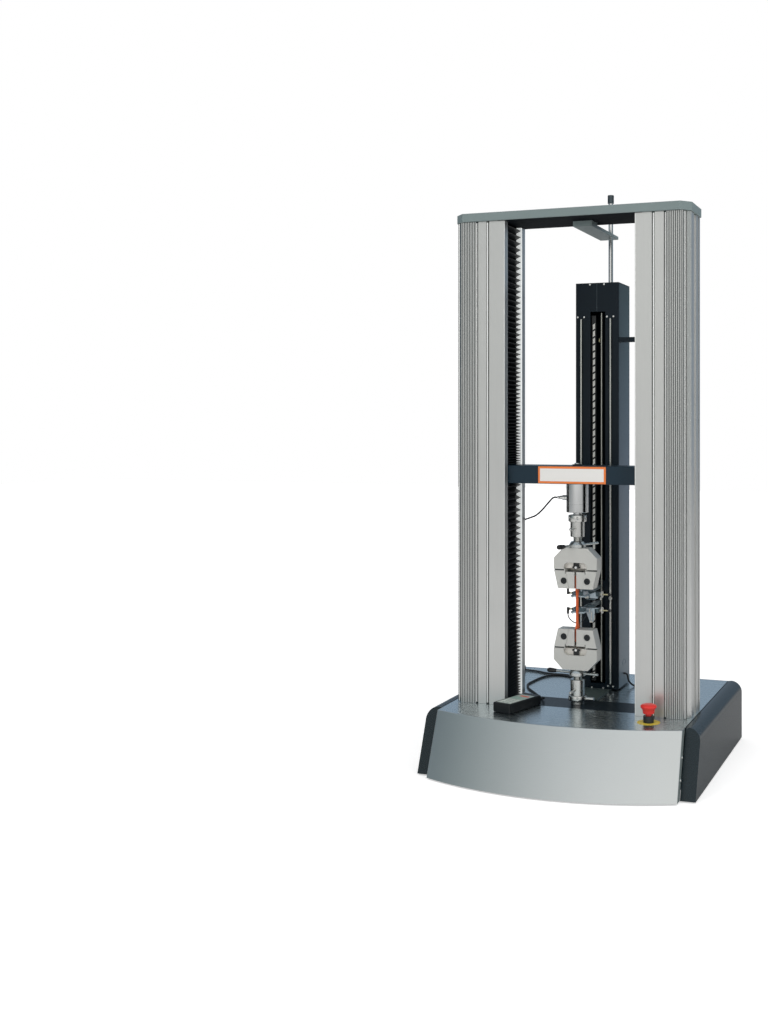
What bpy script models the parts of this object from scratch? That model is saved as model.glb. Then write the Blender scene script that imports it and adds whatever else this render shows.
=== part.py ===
import math

import bmesh
import bpy
from mathutils import Matrix, Vector

# Driving dimensions in metres: base
BASE_HALF = 0.410
BASE_REAR = 0.453
BASE_H = 0.1785
FLOOR_GAP = 0.004
SHEET = 0.003
COVER_DEPTH = 0.0432
PANEL_SPREAD = 0.0024
PANEL_CORNER_TOP_Y = -0.1966
PANEL_CORNER_LOW_Y = -0.2674
PANEL_BOW_TOP = 0.0665
PANEL_BOW_LOW = 0.0772
PANEL_RETURN = 0.030
PANEL_STEPS = 24
DECK_T = 0.004
COVER_ROUND = 0.034
FOOT_R = 0.022
FOOT_H = 0.0117
FOOT_INSET = 0.100
FOOT_YS = (-0.125, 0.390)
INLET_INSET = 0.083
INLET_W = 0.027
INLET_H = 0.047
INLET_Z = 0.0835
FAN_INSET = 0.1065
FAN_SIDE = 0.080
FAN_Z = 0.090

# Driving dimensions: load frame, columns and cap
CAP_TOP_H = 1.4615
CAP_T = 0.025
CAP_SIDE_LIP = 0.004
CAP_FRONT_LIP = 0.008
CAP_REAR_LIP = 0.002
CAP_CHAMFER = 0.0286
COL_EDGE = 0.0064
COL_FRONT_DEEP = 0.025
COL_REAR_DEEP = 0.030
COL_WALL = 0.0065
LIP_DEEP = 0.0165
LIP_T = 0.004
SLOT_ROOM_FRONT = 0.005
SLOT_ROOM_REAR = 0.004
GROOVE_W = 0.003
GROOVE_D = 0.003
GROOVE_INSETS = (0.0515, 0.0866)
RIB_INSET = 0.0945
RIB_PITCH = 0.0058
RIB_COUNT = 6
RIB_FRONT_INSET = 0.001
RIB_REAR_LIP = 0.004
BEAM_BODY_H = 0.100
BEAM_ROOM = 0.0131
BEAM_LEG = 0.020
SCREW_INSET = 0.0685
SCREW_R = 0.016
ROD_OFFSET = 0.054
ROD_R = 0.0125

# Driving dimensions: drive under the beam
PULLEY_R = 0.048
PULLEY_ROOM = 0.009
PULLEY_H = 0.026
PULLEY_Z = 0.034
MOTOR_Y = 0.230
MOTOR_PULLEY_R = 0.026
MOTOR_HALF = 0.050
MOTOR_ROOM = 0.0085
MOTOR_UP = 0.012
BELT_T = 0.003

# Driving dimensions: crosshead and bellows, heights above the deck
CROSS_T = 0.053
CROSS_HALF_Y = 0.053
CROSS_ROOM = 0.015
PLATE_HALF = 0.1045
PLATE_HALF_H = 0.0250
PLATE_T = 0.0025
BELLOWS_ROOM = 0.003
BELLOWS_RIDGE = 0.0012
BELLOWS_DEEP = 0.019
BELLOWS_SKIN = 0.0012
BELLOWS_TIGHT = 0.0075
BELLOWS_WIDE = 0.0165

# Driving dimensions: load string, heights above the deck
CELL_R = 0.0335
CELL_LEN = 0.0858
CELL_SEAM_UP = 0.0245
CELL_NECK = 0.0075
UPPER_SLEEVE_UP = 0.0322
UPPER_RING_UP = 0.0451
UPPER_PIN_UP = 0.0265
LOWER_RING_LOW = 0.0121
LOWER_SLEEVE_TOP = 0.0752
LOWER_PIN_H = 0.0463
RING_R = 0.0275
RING_T = 0.0204
LOWER_RING_T = 0.0164
SLEEVE_R = 0.0215
NECK_R = 0.0125
LEVER_R = 0.025
LEVER_T = 0.0185
LEVER_BAR_R = 0.0038
KNOB_R = 0.0072
KNOB_L = 0.030
PIN_R = 0.0040
PIN_REACH = 0.046
GRIP_TOP_HALF = 0.0385
GRIP_HALF = 0.067
GRIP_MOUTH_HALF = 0.054
GRIP_FRONT = -0.022
GRIP_REAR = 0.0234
GRIP_LEN = 0.120
GRIP_SHOULDER_DOWN = 0.029
GRIP_SPLIT_DOWN = 0.063
GRIP_FOOT = 0.105
MOUTH_GAP = 0.1205
SPLIT_T = 0.004
JAW_TOP_HALF = 0.029
JAW_MOUTH_HALF = 0.0205
JAW_TRAVEL = 0.008
WINDOW_HALF = 0.036
WINDOW_H = 0.020
SPEC_T = 0.005
SPEC_GAUGE_W = 0.012
SPEC_END_W = 0.025

# Driving dimensions: extensometer tower, heights above the deck
TOWER_LEFT = -0.0725
TOWER_RIGHT = 0.0675
TOWER_FRONT = 0.205
TOWER_REAR = 0.332
TOWER_DOWN = 0.185
TOWER_WALL = 0.004
TOWER_OPEN_LOW = 0.019
TOWER_HEAD_H = 0.0906
GUIDE_DOWN = 0.022
SIDE_ARM_W = 0.020
SIDE_ARM_DOWN = 0.1875
FOOT_PLATE_LEFT = -0.040
FOOT_PLATE_RIGHT = 0.042
TOWER_SLOT = (-0.0245, 0.0245)
GUIDE_XS = (-0.0545, 0.0416)
GUIDE_R = 0.0034
GAUGE_MID = 0.2965
GAUGE = 0.048
STAY_X = 0.038
STAY_Y = 0.220
STAY_R = 0.0072
STAY_OVER_CAP = 0.0895
BRACKET_LEFT = -0.013
BRACKET_RIGHT = 0.046
BRACKET_FRONT = -0.004
BRACKET_REAR = 0.278
BRACKET_T = 0.0095
BRACKET_BLOCK_T = 0.0165

# Driving dimensions: things on the deck
ESTOP_INSET = 0.0555
ESTOP_Y = -0.140
ESTOP_COLLAR_R = 0.0150
ESTOP_HEAD_R = 0.0230
ESTOP_TRAVEL = 0.005
PENDANT_INSET = 0.0475
PENDANT_Y = -0.102
PENDANT_TURN = math.radians(72.6)
PENDANT_L = 0.150
PENDANT_W = 0.063
PENDANT_T = 0.028
CORD_R = 0.0030
CELL_CORD_R = 0.0026
CELL_GLAND_INSET = 0.056
CELL_CORD_END_Y = 0.1120
CELL_CORD_END_H = 0.7200
REAR_GLAND_INSET = 0.0394
REAR_GLAND_Y = 0.3900
SIDE_GLAND_INSET = 0.0335
SIDE_GLAND_Y = 0.3280
GLAND_HALF = 0.010
GLAND_H = 0.016
GAP = 0.0003
RUN = 0.00005

# Derived widths and depths, from the base's half width inwards
PANEL_HALF_LOW = BASE_HALF - COVER_DEPTH
PANEL_HALF_TOP = PANEL_HALF_LOW - PANEL_SPREAD
FOOT_X = BASE_HALF - FOOT_INSET
BEAM_BODY_HALF = PANEL_HALF_TOP - 2 * SHEET - GAP - BEAM_ROOM
SCREW_X = BEAM_BODY_HALF - BEAM_LEG - PULLEY_ROOM - PULLEY_R
ROD_X = SCREW_X + ROD_OFFSET
COL_OUT = PANEL_HALF_TOP - COL_EDGE
COL_IN = SCREW_X - SCREW_INSET
GROOVE_XS = tuple(COL_IN + inset for inset in GROOVE_INSETS)
RIB_START = COL_IN + RIB_INSET
CAP_HALF = COL_OUT + CAP_SIDE_LIP
CROSS_HALF_X = COL_OUT - CROSS_ROOM
SLOT_FRONT = -CROSS_HALF_Y - SLOT_ROOM_FRONT
SLOT_REAR = CROSS_HALF_Y + SLOT_ROOM_REAR
COL_FRONT = SLOT_FRONT - COL_FRONT_DEEP
COL_REAR = SLOT_REAR + COL_REAR_DEEP
CAP_FRONT = COL_FRONT - CAP_FRONT_LIP
CAP_REAR = COL_REAR + CAP_REAR_LIP
BEAM_FRONT = -CROSS_HALF_Y + RIB_FRONT_INSET
BEAM_REAR = CROSS_HALF_Y + RIB_REAR_LIP
BELLOWS_FRONT = SLOT_FRONT + BELLOWS_ROOM
BELLOWS_REAR = SLOT_REAR - BELLOWS_ROOM
ESTOP_X = COL_IN + ESTOP_INSET
PENDANT_X = -COL_IN + PENDANT_INSET
CELL_CORD_END_X = -COL_OUT + CELL_GLAND_INSET
GLAND_SPOTS = (
    (-PANEL_HALF_TOP + REAR_GLAND_INSET, REAR_GLAND_Y),
    (COL_IN - SIDE_GLAND_INSET, SIDE_GLAND_Y),
)

# Derived heights above the deck, from the foot of the lower grip upwards
LOWER_GRIP_MOUTH = GRIP_FOOT + GRIP_LEN
GRIP_MOUTH = LOWER_GRIP_MOUTH + MOUTH_GAP
GRIP_TOP = GRIP_MOUTH + GRIP_LEN
GRIP_SHOULDER = GRIP_TOP - GRIP_SHOULDER_DOWN
GRIP_SPLIT = GRIP_TOP - GRIP_SPLIT_DOWN
UPPER_SLEEVE_LOW = GRIP_TOP + UPPER_SLEEVE_UP
UPPER_RING_LOW = UPPER_SLEEVE_LOW + UPPER_RING_UP
UPPER_PIN_H = UPPER_SLEEVE_LOW + UPPER_PIN_UP
CELL_LOW = UPPER_RING_LOW + RING_T + CELL_NECK
CELL_SEAM = CELL_LOW + CELL_SEAM_UP
CROSS_H = CELL_LOW + CELL_LEN
TOWER_TOP = CAP_TOP_H - TOWER_DOWN
TOWER_OPEN_TOP = TOWER_TOP - TOWER_HEAD_H
STAY_TOP_H = CAP_TOP_H + STAY_OVER_CAP

# Derived heights
AXIS_Y = -(BASE_REAR + PANEL_CORNER_LOW_Y - PANEL_BOW_LOW) / 2
DECK = FLOOR_GAP + BASE_H
CAP_TOP = DECK + CAP_TOP_H
CAP_LOW = CAP_TOP - CAP_T
CROSS_LOW = DECK + CROSS_H
CROSS_TOP = CROSS_LOW + CROSS_T
TRAY_LOW = FOOT_H + GAP
TRAY_TOP = TRAY_LOW + SHEET
BEAM_LOW = DECK - DECK_T - GAP - BEAM_BODY_H

for old in list(bpy.data.objects):
    bpy.data.objects.remove(old)

MATERIALS = {}


def material(name, colour, roughness, metallic):
    found = MATERIALS.get(name)
    if found is None:
        found = bpy.data.materials.new(name)
        found.use_nodes = True
        shader = found.node_tree.nodes["Principled BSDF"]
        shader.inputs["Base Color"].default_value = (*colour, 1.0)
        shader.inputs["Roughness"].default_value = roughness
        shader.inputs["Metallic"].default_value = metallic
        MATERIALS[name] = found
    return found


def new_object(name, bm):
    mesh = bpy.data.meshes.new(name)
    bmesh.ops.recalc_face_normals(bm, faces=bm.faces)
    bm.to_mesh(mesh)
    bm.free()
    obj = bpy.data.objects.new(name, mesh)
    bpy.context.scene.collection.objects.link(obj)
    return obj


def prism(name, points, axis, low, high):
    """A flat outline extruded along one axis: x takes (y, z) points, y takes (x, z), z takes (x, y)."""
    bm = bmesh.new()
    place = {
        "x": lambda a, b: (low, a, b),
        "y": lambda a, b: (a, low, b),
        "z": lambda a, b: (a, b, low),
    }[axis]
    along = {"x": (high - low, 0, 0), "y": (0, high - low, 0), "z": (0, 0, high - low)}[axis]
    face = bm.faces.new([bm.verts.new(place(a, b)) for a, b in points])
    grown = bmesh.ops.extrude_face_region(bm, geom=[face])
    moved = [item for item in grown["geom"] if isinstance(item, bmesh.types.BMVert)]
    bmesh.ops.translate(bm, verts=moved, vec=along)
    return new_object(name, bm)


def box(name, x0, x1, y0, y1, z0, z1):
    return prism(name, [(x0, y0), (x1, y0), (x1, y1), (x0, y1)], "z", z0, z1)


def lathe(name, profile, centre=(0, 0, 0), axis="z", steps=32):
    """A closed outline of (radius, height) points spun about an axis."""
    bm = bmesh.new()
    verts = [bm.verts.new((r, 0, h)) for r, h in profile]
    edges = [bm.edges.new((verts[i], verts[i - 1])) for i in range(len(verts))]
    bmesh.ops.spin(
        bm,
        geom=verts + edges,
        cent=(0, 0, 0),
        axis=(0, 0, 1),
        angle=math.tau,
        steps=steps,
        use_merge=True,
    )
    bmesh.ops.remove_doubles(bm, verts=bm.verts, dist=0.00001)
    bmesh.ops.dissolve_degenerate(bm, edges=bm.edges, dist=0.00001)
    turn = {
        "z": Matrix.Identity(4),
        "x": Matrix.Rotation(math.pi / 2, 4, "Y"),
        "y": Matrix.Rotation(-math.pi / 2, 4, "X"),
    }[axis]
    bmesh.ops.transform(bm, matrix=Matrix.Translation(centre) @ turn, verts=bm.verts)
    return new_object(name, bm)


def rod(name, radius, start, end, steps=24):
    """A round bar between two points."""
    start = Vector(start)
    end = Vector(end)
    bm = bmesh.new()
    bmesh.ops.create_cone(
        bm,
        cap_ends=True,
        segments=steps,
        radius1=radius,
        radius2=radius,
        depth=(end - start).length,
    )
    turn = Vector((0, 0, 1)).rotation_difference(end - start).to_matrix().to_4x4()
    place = Matrix.Translation((start + end) / 2) @ turn
    bmesh.ops.transform(bm, matrix=place, verts=bm.verts)
    return new_object(name, bm)


def settle(obj):
    """Applies the modifiers that the object carries."""
    graph = bpy.context.evaluated_depsgraph_get()
    graph.update()
    made = bpy.data.meshes.new_from_object(obj.evaluated_get(graph))
    obj.modifiers.clear()
    obj.data = made
    return obj


def boolean(obj, tool, operation):
    change = obj.modifiers.new(operation, "BOOLEAN")
    change.operation = operation
    change.solver = "EXACT"
    change.object = tool
    settle(obj)
    bpy.data.objects.remove(tool)
    return obj


def cut(obj, *tools):
    for tool in tools:
        boolean(obj, tool, "DIFFERENCE")
    return obj


def weld(obj, *tools):
    for tool in tools:
        boolean(obj, tool, "UNION")
    return obj


def ease(obj, width, segments=2, angle=40):
    change = obj.modifiers.new("bevel", "BEVEL")
    change.width = width
    change.segments = segments
    change.limit_method = "ANGLE"
    change.angle_limit = math.radians(angle)
    return settle(obj)


def mirrored(name, obj):
    bm = bmesh.new()
    bm.from_mesh(obj.data)
    bmesh.ops.transform(bm, matrix=Matrix.Scale(-1, 4, (1, 0, 0)), verts=bm.verts)
    return new_object(name, bm)


def flipped(name, obj, mid):
    """The same piece upside down, turned over about the height mid."""
    bm = bmesh.new()
    bm.from_mesh(obj.data)
    turn = Matrix.Translation((0, 0, 2 * mid)) @ Matrix.Scale(-1, 4, (0, 0, 1))
    bmesh.ops.transform(bm, matrix=turn, verts=bm.verts)
    return new_object(name, bm)


def smooth(obj, angle=35):
    for face in obj.data.polygons:
        face.use_smooth = True
    obj.data.set_sharp_from_angle(angle=math.radians(angle))
    return obj


def tube(name, points, radius, resolution=2):
    """A round cord along the given points."""
    curve = bpy.data.curves.new(name, "CURVE")
    curve.dimensions = "3D"
    curve.bevel_depth = radius
    curve.bevel_resolution = resolution
    curve.use_fill_caps = True
    line = curve.splines.new("POLY")
    line.points.add(len(points) - 1)
    for index, point in enumerate(points):
        line.points[index].co = (*point, 1)
    carrier = bpy.data.objects.new(name + "_curve", curve)
    bpy.context.scene.collection.objects.link(carrier)
    graph = bpy.context.evaluated_depsgraph_get()
    graph.update()
    made = bpy.data.meshes.new_from_object(carrier.evaluated_get(graph))
    bpy.data.objects.remove(carrier)
    obj = bpy.data.objects.new(name, made)
    bpy.context.scene.collection.objects.link(obj)
    return obj


def smooth_route(knots, spacing):
    """Points at an even spacing on a smooth curve through the knots."""
    knots = [Vector(knot) for knot in knots]
    ends = [2 * knots[0] - knots[1]] + knots + [2 * knots[-1] - knots[-2]]
    fine = []
    for index in range(1, len(ends) - 2):
        p0, p1, p2, p3 = ends[index - 1 : index + 3]
        for step in range(40):
            t = step / 40
            fine.append(
                0.5
                * (
                    2 * p1
                    + (p2 - p0) * t
                    + (2 * p0 - 5 * p1 + 4 * p2 - p3) * t * t
                    + (3 * p1 - p0 - 3 * p2 + p3) * t * t * t
                )
            )
    fine.append(knots[-1])
    total = sum((b - a).length for a, b in zip(fine, fine[1:]))
    count = max(2, round(total / spacing))
    step = total / count
    route = [fine[0]]
    run = 0.0
    for a, b in zip(fine, fine[1:]):
        length = (b - a).length
        while len(route) < count and run + length >= step * len(route):
            share = (step * len(route) - run) / length
            route.append(a.lerp(b, share))
        run += length
    route.append(fine[-1])
    return route


PAINT_GREY = material("painted_metal_grey", (0.22, 0.26, 0.26), 0.45, 0.2)
PAINT_NAVY = material("painted_metal_navy", (0.012, 0.030, 0.045), 0.4, 0.0)
COVER_DARK = material("cover_dark", (0.008, 0.014, 0.022), 0.4, 0.0)
ALU = material("anodised_aluminium", (0.62, 0.65, 0.66), 0.35, 0.9)
BRUSHED = material("brushed_steel", (0.55, 0.58, 0.59), 0.3, 1.0)
STEEL = material("turned_steel", (0.60, 0.61, 0.60), 0.25, 1.0)
GRIP_PLATE = material("grip_nickel", (0.62, 0.62, 0.59), 0.5, 0.4)
BLACK = material("black_plastic", (0.010, 0.010, 0.011), 0.5, 0.0)
RUBBER = material("black_rubber", (0.012, 0.012, 0.012), 0.8, 0.0)
CAST = material("cast_iron_dark", (0.015, 0.018, 0.022), 0.5, 0.3)
RED = material("red_plastic", (0.70, 0.03, 0.02), 0.35, 0.0)
ORANGE = material("specimen_orange", (0.75, 0.14, 0.03), 0.5, 0.0)
PALE = material("pale_plate", (0.80, 0.78, 0.74), 0.5, 0.0)
PARTS = {}
ORIGINS = {}


def keep(obj, finish, origin=None, angle=35):
    """Names the piece, gives it its material and notes the point its joint turns or slides on."""
    obj.data.materials.clear()
    obj.data.materials.append(finish)
    smooth(obj, angle)
    PARTS[obj.name] = obj
    ORIGINS[obj.name] = Vector(origin or (0, 0, 0))
    return obj


# Base: tray, feet, front panel, deck, side covers and rear panel
def arc_outline(half, corner_y, bow, inset):
    """The bowed front edge from left to right, pulled in by the inset."""
    radius = (half * half + bow * bow) / (2 * bow)
    centre_y = corner_y - bow + radius
    reach = math.asin(half / radius)
    inner = radius - inset
    points = []
    for step in range(PANEL_STEPS + 1):
        turn = -reach + 2 * reach * step / PANEL_STEPS
        side = inner * math.sin(turn)
        limit = half - inset
        side = max(-limit, min(limit, side))
        points.append((side, centre_y - math.sqrt(inner * inner - side * side)))
    return points


def bowed_sheet(name, thick, top, low):
    """The front panel: a bowed sheet that leans forward, with a return flange at each side."""
    rings = []
    for half, corner_y, bow, height in (
        (PANEL_HALF_LOW, PANEL_CORNER_LOW_Y, PANEL_BOW_LOW, low),
        (PANEL_HALF_TOP, PANEL_CORNER_TOP_Y, PANEL_BOW_TOP, top),
    ):
        outer = arc_outline(half, corner_y, bow, 0)
        inner = arc_outline(half, corner_y, bow, thick)
        back = corner_y + PANEL_RETURN
        ring = [(-half, back)] + outer + [(half, back)]
        ring += [(half - thick, back)] + inner[::-1] + [(-half + thick, back)]
        rings.append([(x, y, height) for x, y in ring])
    bm = bmesh.new()
    lower = [bm.verts.new(point) for point in rings[0]]
    upper = [bm.verts.new(point) for point in rings[1]]
    count = len(lower)
    for i in range(count):
        j = (i + 1) % count
        bm.faces.new((lower[i], lower[j], upper[j], upper[i]))
    for i in range(count // 2):
        j = i + 1
        if j < count // 2:
            bm.faces.new((lower[i], lower[j], lower[count - 1 - j], lower[count - 1 - i]))
            bm.faces.new((upper[i], upper[j], upper[count - 1 - j], upper[count - 1 - i]))
    return new_object(name, bm)


feet = []
for foot_y in FOOT_YS:
    for side in (-1, 1):
        outline = [
            (0, 0),
            (FOOT_R - 0.002, 0),
            (FOOT_R, 0.002),
            (FOOT_R - 0.003, TRAY_LOW + 0.001),
            (0, TRAY_LOW + 0.001),
        ]
        feet.append(lathe("foot", outline, (side * FOOT_X, foot_y, 0)))
tray_half = PANEL_HALF_TOP - SHEET - GAP
tray_front = PANEL_CORNER_TOP_Y + PANEL_RETURN + GAP
tray_rear = BASE_REAR - SHEET - GAP
deck_low = DECK - DECK_T
tray_outline = [
    (-tray_half, TRAY_LOW),
    (tray_half, TRAY_LOW),
    (tray_half, deck_low - GAP),
    (tray_half - SHEET, deck_low - GAP),
    (tray_half - SHEET, TRAY_TOP),
    (-tray_half + SHEET, TRAY_TOP),
    (-tray_half + SHEET, deck_low - GAP),
    (-tray_half, deck_low - GAP),
]
tray = prism("base_tray", tray_outline, "y", tray_front, tray_rear)
weld(tray, *feet)
keep(tray, PAINT_NAVY)

panel = bowed_sheet("front_panel", SHEET, DECK, FLOOR_GAP)
keep(panel, BRUSHED, angle=25)

deck_front = arc_outline(PANEL_HALF_TOP, PANEL_CORNER_TOP_Y, PANEL_BOW_TOP, SHEET + GAP)
notch_y = PANEL_CORNER_TOP_Y + PANEL_RETURN + GAP
deck_outline = deck_front + [
    (deck_front[-1][0], notch_y),
    (PANEL_HALF_TOP, notch_y),
    (PANEL_HALF_TOP, BASE_REAR - SHEET - GAP),
    (-PANEL_HALF_TOP, BASE_REAR - SHEET - GAP),
    (-PANEL_HALF_TOP, notch_y),
    (deck_front[0][0], notch_y),
]
deck = prism("deck_plate", deck_outline, "z", deck_low, DECK)
tools = [
    box(
        "rib_slot",
        -COL_IN - 0.001,
        COL_IN + 0.001,
        BEAM_FRONT - 0.001,
        BEAM_REAR + 0.001,
        deck_low - 0.01,
        DECK + 0.01,
    )
]
for side in (-1, 1):
    for hole_x, hole_r in ((SCREW_X, SCREW_R + 0.005), (ROD_X, ROD_R + 0.003)):
        where = (side * hole_x, 0, deck_low - 0.01)
        tools.append(rod("hole", hole_r, where, (where[0], 0, DECK + 0.01)))
cut(deck, *tools)
for gland_x, gland_y in GLAND_SPOTS:
    gland = box(
        "gland",
        gland_x - GLAND_HALF,
        gland_x + GLAND_HALF,
        gland_y - GLAND_HALF,
        gland_y + GLAND_HALF,
        DECK - 0.001,
        DECK + GLAND_H,
    )
    ease(gland, 0.0020, 1)
    weld(deck, gland)
keep(deck, BRUSHED, angle=25)

cover_in = PANEL_HALF_LOW + GAP
cover_z = DECK + 0.0015
cover_outline = [(cover_in, FLOOR_GAP), (BASE_HALF, FLOOR_GAP)]
for step in range(7):
    turn = math.radians(90) * step / 6
    cover_outline.append(
        (
            BASE_HALF - COVER_ROUND * (1 - math.cos(turn)),
            cover_z - COVER_ROUND * (1 - math.sin(turn)),
        )
    )
cover_outline.append((cover_in, cover_z - 0.0015))


def cover_front(height):
    share = (height - FLOOR_GAP) / BASE_H
    low = PANEL_CORNER_LOW_Y + PANEL_RETURN
    top = PANEL_CORNER_TOP_Y + PANEL_RETURN
    return low + (top - low) * share + GAP


def slanted(name, outline, front_shift, rear):
    """An outline run from the leaning front end of the base to a flat rear end."""
    bm = bmesh.new()
    first = [bm.verts.new((x, cover_front(z) + front_shift, z)) for x, z in outline]
    last = [bm.verts.new((x, rear, z)) for x, z in outline]
    bm.faces.new(first)
    bm.faces.new(last[::-1])
    for i in range(len(outline)):
        j = (i + 1) % len(outline)
        bm.faces.new((first[i], last[i], last[j], first[j]))
    return new_object(name, bm)


hollow_round = COVER_ROUND - SHEET
hollow = [(cover_in - 0.01, FLOOR_GAP - 0.01), (BASE_HALF - SHEET, FLOOR_GAP - 0.01)]
for step in range(7):
    turn = math.radians(90) * step / 6
    hollow.append(
        (
            BASE_HALF - SHEET - hollow_round * (1 - math.cos(turn)),
            cover_z - SHEET - hollow_round * (1 - math.sin(turn)),
        )
    )
hollow.append((cover_in - 0.01, cover_z - 0.0015 - SHEET))
cover = slanted("side_cover_right", cover_outline, 0, BASE_REAR)
cut(cover, slanted("cover_hollow", hollow, SHEET, BASE_REAR - SHEET))
left_cover = mirrored("side_cover_left", cover)
keep(cover, COVER_DARK)
keep(left_cover, COVER_DARK)

rear_half = PANEL_HALF_LOW - GAP


def window(name, x, z, wide, tall):
    """A cutter for a window through the rear panel."""
    near = BASE_REAR - 2 * SHEET
    far = BASE_REAR + SHEET
    return box(name, x - wide / 2, x + wide / 2, near, far, z - tall / 2, z + tall / 2)


rear = box(
    "rear_panel", -rear_half, rear_half, BASE_REAR - SHEET, BASE_REAR, FLOOR_GAP, DECK
)
cut(
    rear,
    window("inlet_hole", rear_half - INLET_INSET, INLET_Z, INLET_W, INLET_H),
    window("fan_hole", FAN_INSET - rear_half, FAN_Z, FAN_SIDE, FAN_SIDE),
)
keep(rear, PAINT_NAVY)

# Load frame: beam under the deck, screws and their pulleys, motor and belt
beam_outline = [
    (-BEAM_BODY_HALF, TRAY_TOP + GAP),
    (-BEAM_BODY_HALF + BEAM_LEG, TRAY_TOP + GAP),
    (-BEAM_BODY_HALF + BEAM_LEG, BEAM_LOW),
    (BEAM_BODY_HALF - BEAM_LEG, BEAM_LOW),
    (BEAM_BODY_HALF - BEAM_LEG, TRAY_TOP + GAP),
    (BEAM_BODY_HALF, TRAY_TOP + GAP),
    (BEAM_BODY_HALF, deck_low - GAP),
    (-BEAM_BODY_HALF, deck_low - GAP),
]
beam = prism("load_beam", beam_outline, "y", BEAM_FRONT - 0.022, BEAM_REAR + 0.022)
rib = box("rib", -COL_IN, COL_IN, BEAM_FRONT, BEAM_REAR, BEAM_LOW + 0.02, DECK)
weld(beam, rib)
for side in (-1, 1):
    low = (side * SCREW_X, 0, BEAM_LOW - 0.01)
    cut(beam, rod("screw_bore", SCREW_R + 0.004, low, (low[0], 0, DECK)))
    low = (side * ROD_X, 0, BEAM_LOW + 0.03)
    cut(beam, rod("rod_bore", ROD_R + GAP, low, (low[0], 0, DECK)))
keep(beam, CAST)

pulley_low = TRAY_TOP + PULLEY_Z - PULLEY_H / 2
pulley_top = pulley_low + PULLEY_H
screw_top = CAP_LOW - 0.004
for label, side in (("left", -1), ("right", 1)):
    outline = [
        (0, TRAY_TOP + 0.004),
        (0.010, TRAY_TOP + 0.004),
        (0.010, pulley_low),
        (PULLEY_R - 0.004, pulley_low),
        (PULLEY_R, pulley_low),
        (PULLEY_R, pulley_top),
        (PULLEY_R - 0.004, pulley_top),
        (SCREW_R, pulley_top),
        (SCREW_R, screw_top),
        (0, screw_top),
    ]
    where = (side * SCREW_X, 0, 0)
    screw = lathe("ball_screw_" + label, outline, where)
    keep(screw, STEEL, (side * SCREW_X, 0, pulley_top))

for label, side in (("left", -1), ("right", 1)):
    low = (side * ROD_X, 0, BEAM_LOW + 0.03 + GAP)
    keep(rod("guide_rod_" + label, ROD_R, low, (low[0], 0, CAP_LOW - GAP)), STEEL)

motor_low = pulley_top + MOTOR_UP
motor_top = deck_low - MOTOR_ROOM
motor = box(
    "drive_motor",
    -MOTOR_HALF,
    MOTOR_HALF,
    MOTOR_Y - MOTOR_HALF,
    MOTOR_Y + MOTOR_HALF,
    motor_low,
    motor_top,
)
ease(motor, 0.004)
flange_half = MOTOR_HALF + 0.012
flange = box(
    "motor_flange",
    -flange_half,
    flange_half,
    MOTOR_Y - flange_half,
    MOTOR_Y + flange_half,
    motor_low - 0.001,
    motor_low + 0.007,
)
weld(motor, flange)
legs = []
for side_x in (-1, 1):
    for side_y in (-1, 1):
        spot_x = side_x * (flange_half - 0.006)
        spot_y = MOTOR_Y + side_y * (flange_half - 0.006)
        legs.append(
            rod("leg", 0.005, (spot_x, spot_y, TRAY_TOP + GAP), (spot_x, spot_y, motor_low + 0.003), 16)
        )
weld(motor, *legs)
bore_low = (0, MOTOR_Y, motor_low - 0.01)
cut(motor, rod("shaft_bore", 0.010, bore_low, (0, MOTOR_Y, motor_low + 0.02)))
keep(motor, BLACK)
outline = [
    (0, pulley_low),
    (MOTOR_PULLEY_R, pulley_low),
    (MOTOR_PULLEY_R, pulley_top),
    (0.009, pulley_top),
    (0.009, motor_low + 0.018),
    (0, motor_low + 0.018),
]
keep(lathe("motor_pulley", outline, (0, MOTOR_Y, 0)), STEEL, (0, MOTOR_Y, pulley_top))


def belt_outline(grow):
    """The line round the three pulleys, as straight runs and arcs."""
    wheels = [
        (-SCREW_X, 0.0, PULLEY_R + grow),
        (SCREW_X, 0.0, PULLEY_R + grow),
        (0.0, MOTOR_Y, MOTOR_PULLEY_R + grow),
    ]
    turns = []
    for index in range(3):
        ax, ay, ar = wheels[index]
        bx, by, br = wheels[(index + 1) % 3]
        heading = math.atan2(by - ay, bx - ax)
        lean = math.asin((ar - br) / math.hypot(bx - ax, by - ay))
        turns.append(heading - math.pi / 2 + lean)
    points = []
    for index in range(3):
        x, y, r = wheels[index]
        start = turns[index - 1]
        end = turns[index]
        while end < start:
            end += math.tau
        steps = 12
        for step in range(steps + 1):
            turn = start + (end - start) * step / steps
            points.append((x + r * math.cos(turn), y + r * math.sin(turn)))
    return points


belt = prism(
    "drive_belt", belt_outline(0.0006 + BELT_T), "z", pulley_low + 0.003, pulley_top - 0.003
)
cut(belt, prism("belt_hollow", belt_outline(0.0006), "z", pulley_low - 0.02, pulley_top + 0.02))
keep(belt, RUBBER)


# Columns: hollow extrusions with ribbed fronts and a slot in the inner face
def along_chamfer(distance, depth):
    """A point on the front outer chamfer, sunk by the depth."""
    corner_x = COL_OUT - CAP_CHAMFER
    step = distance / math.sqrt(2)
    sink = depth / math.sqrt(2)
    return (corner_x + step - sink, COL_FRONT + step + sink)


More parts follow.
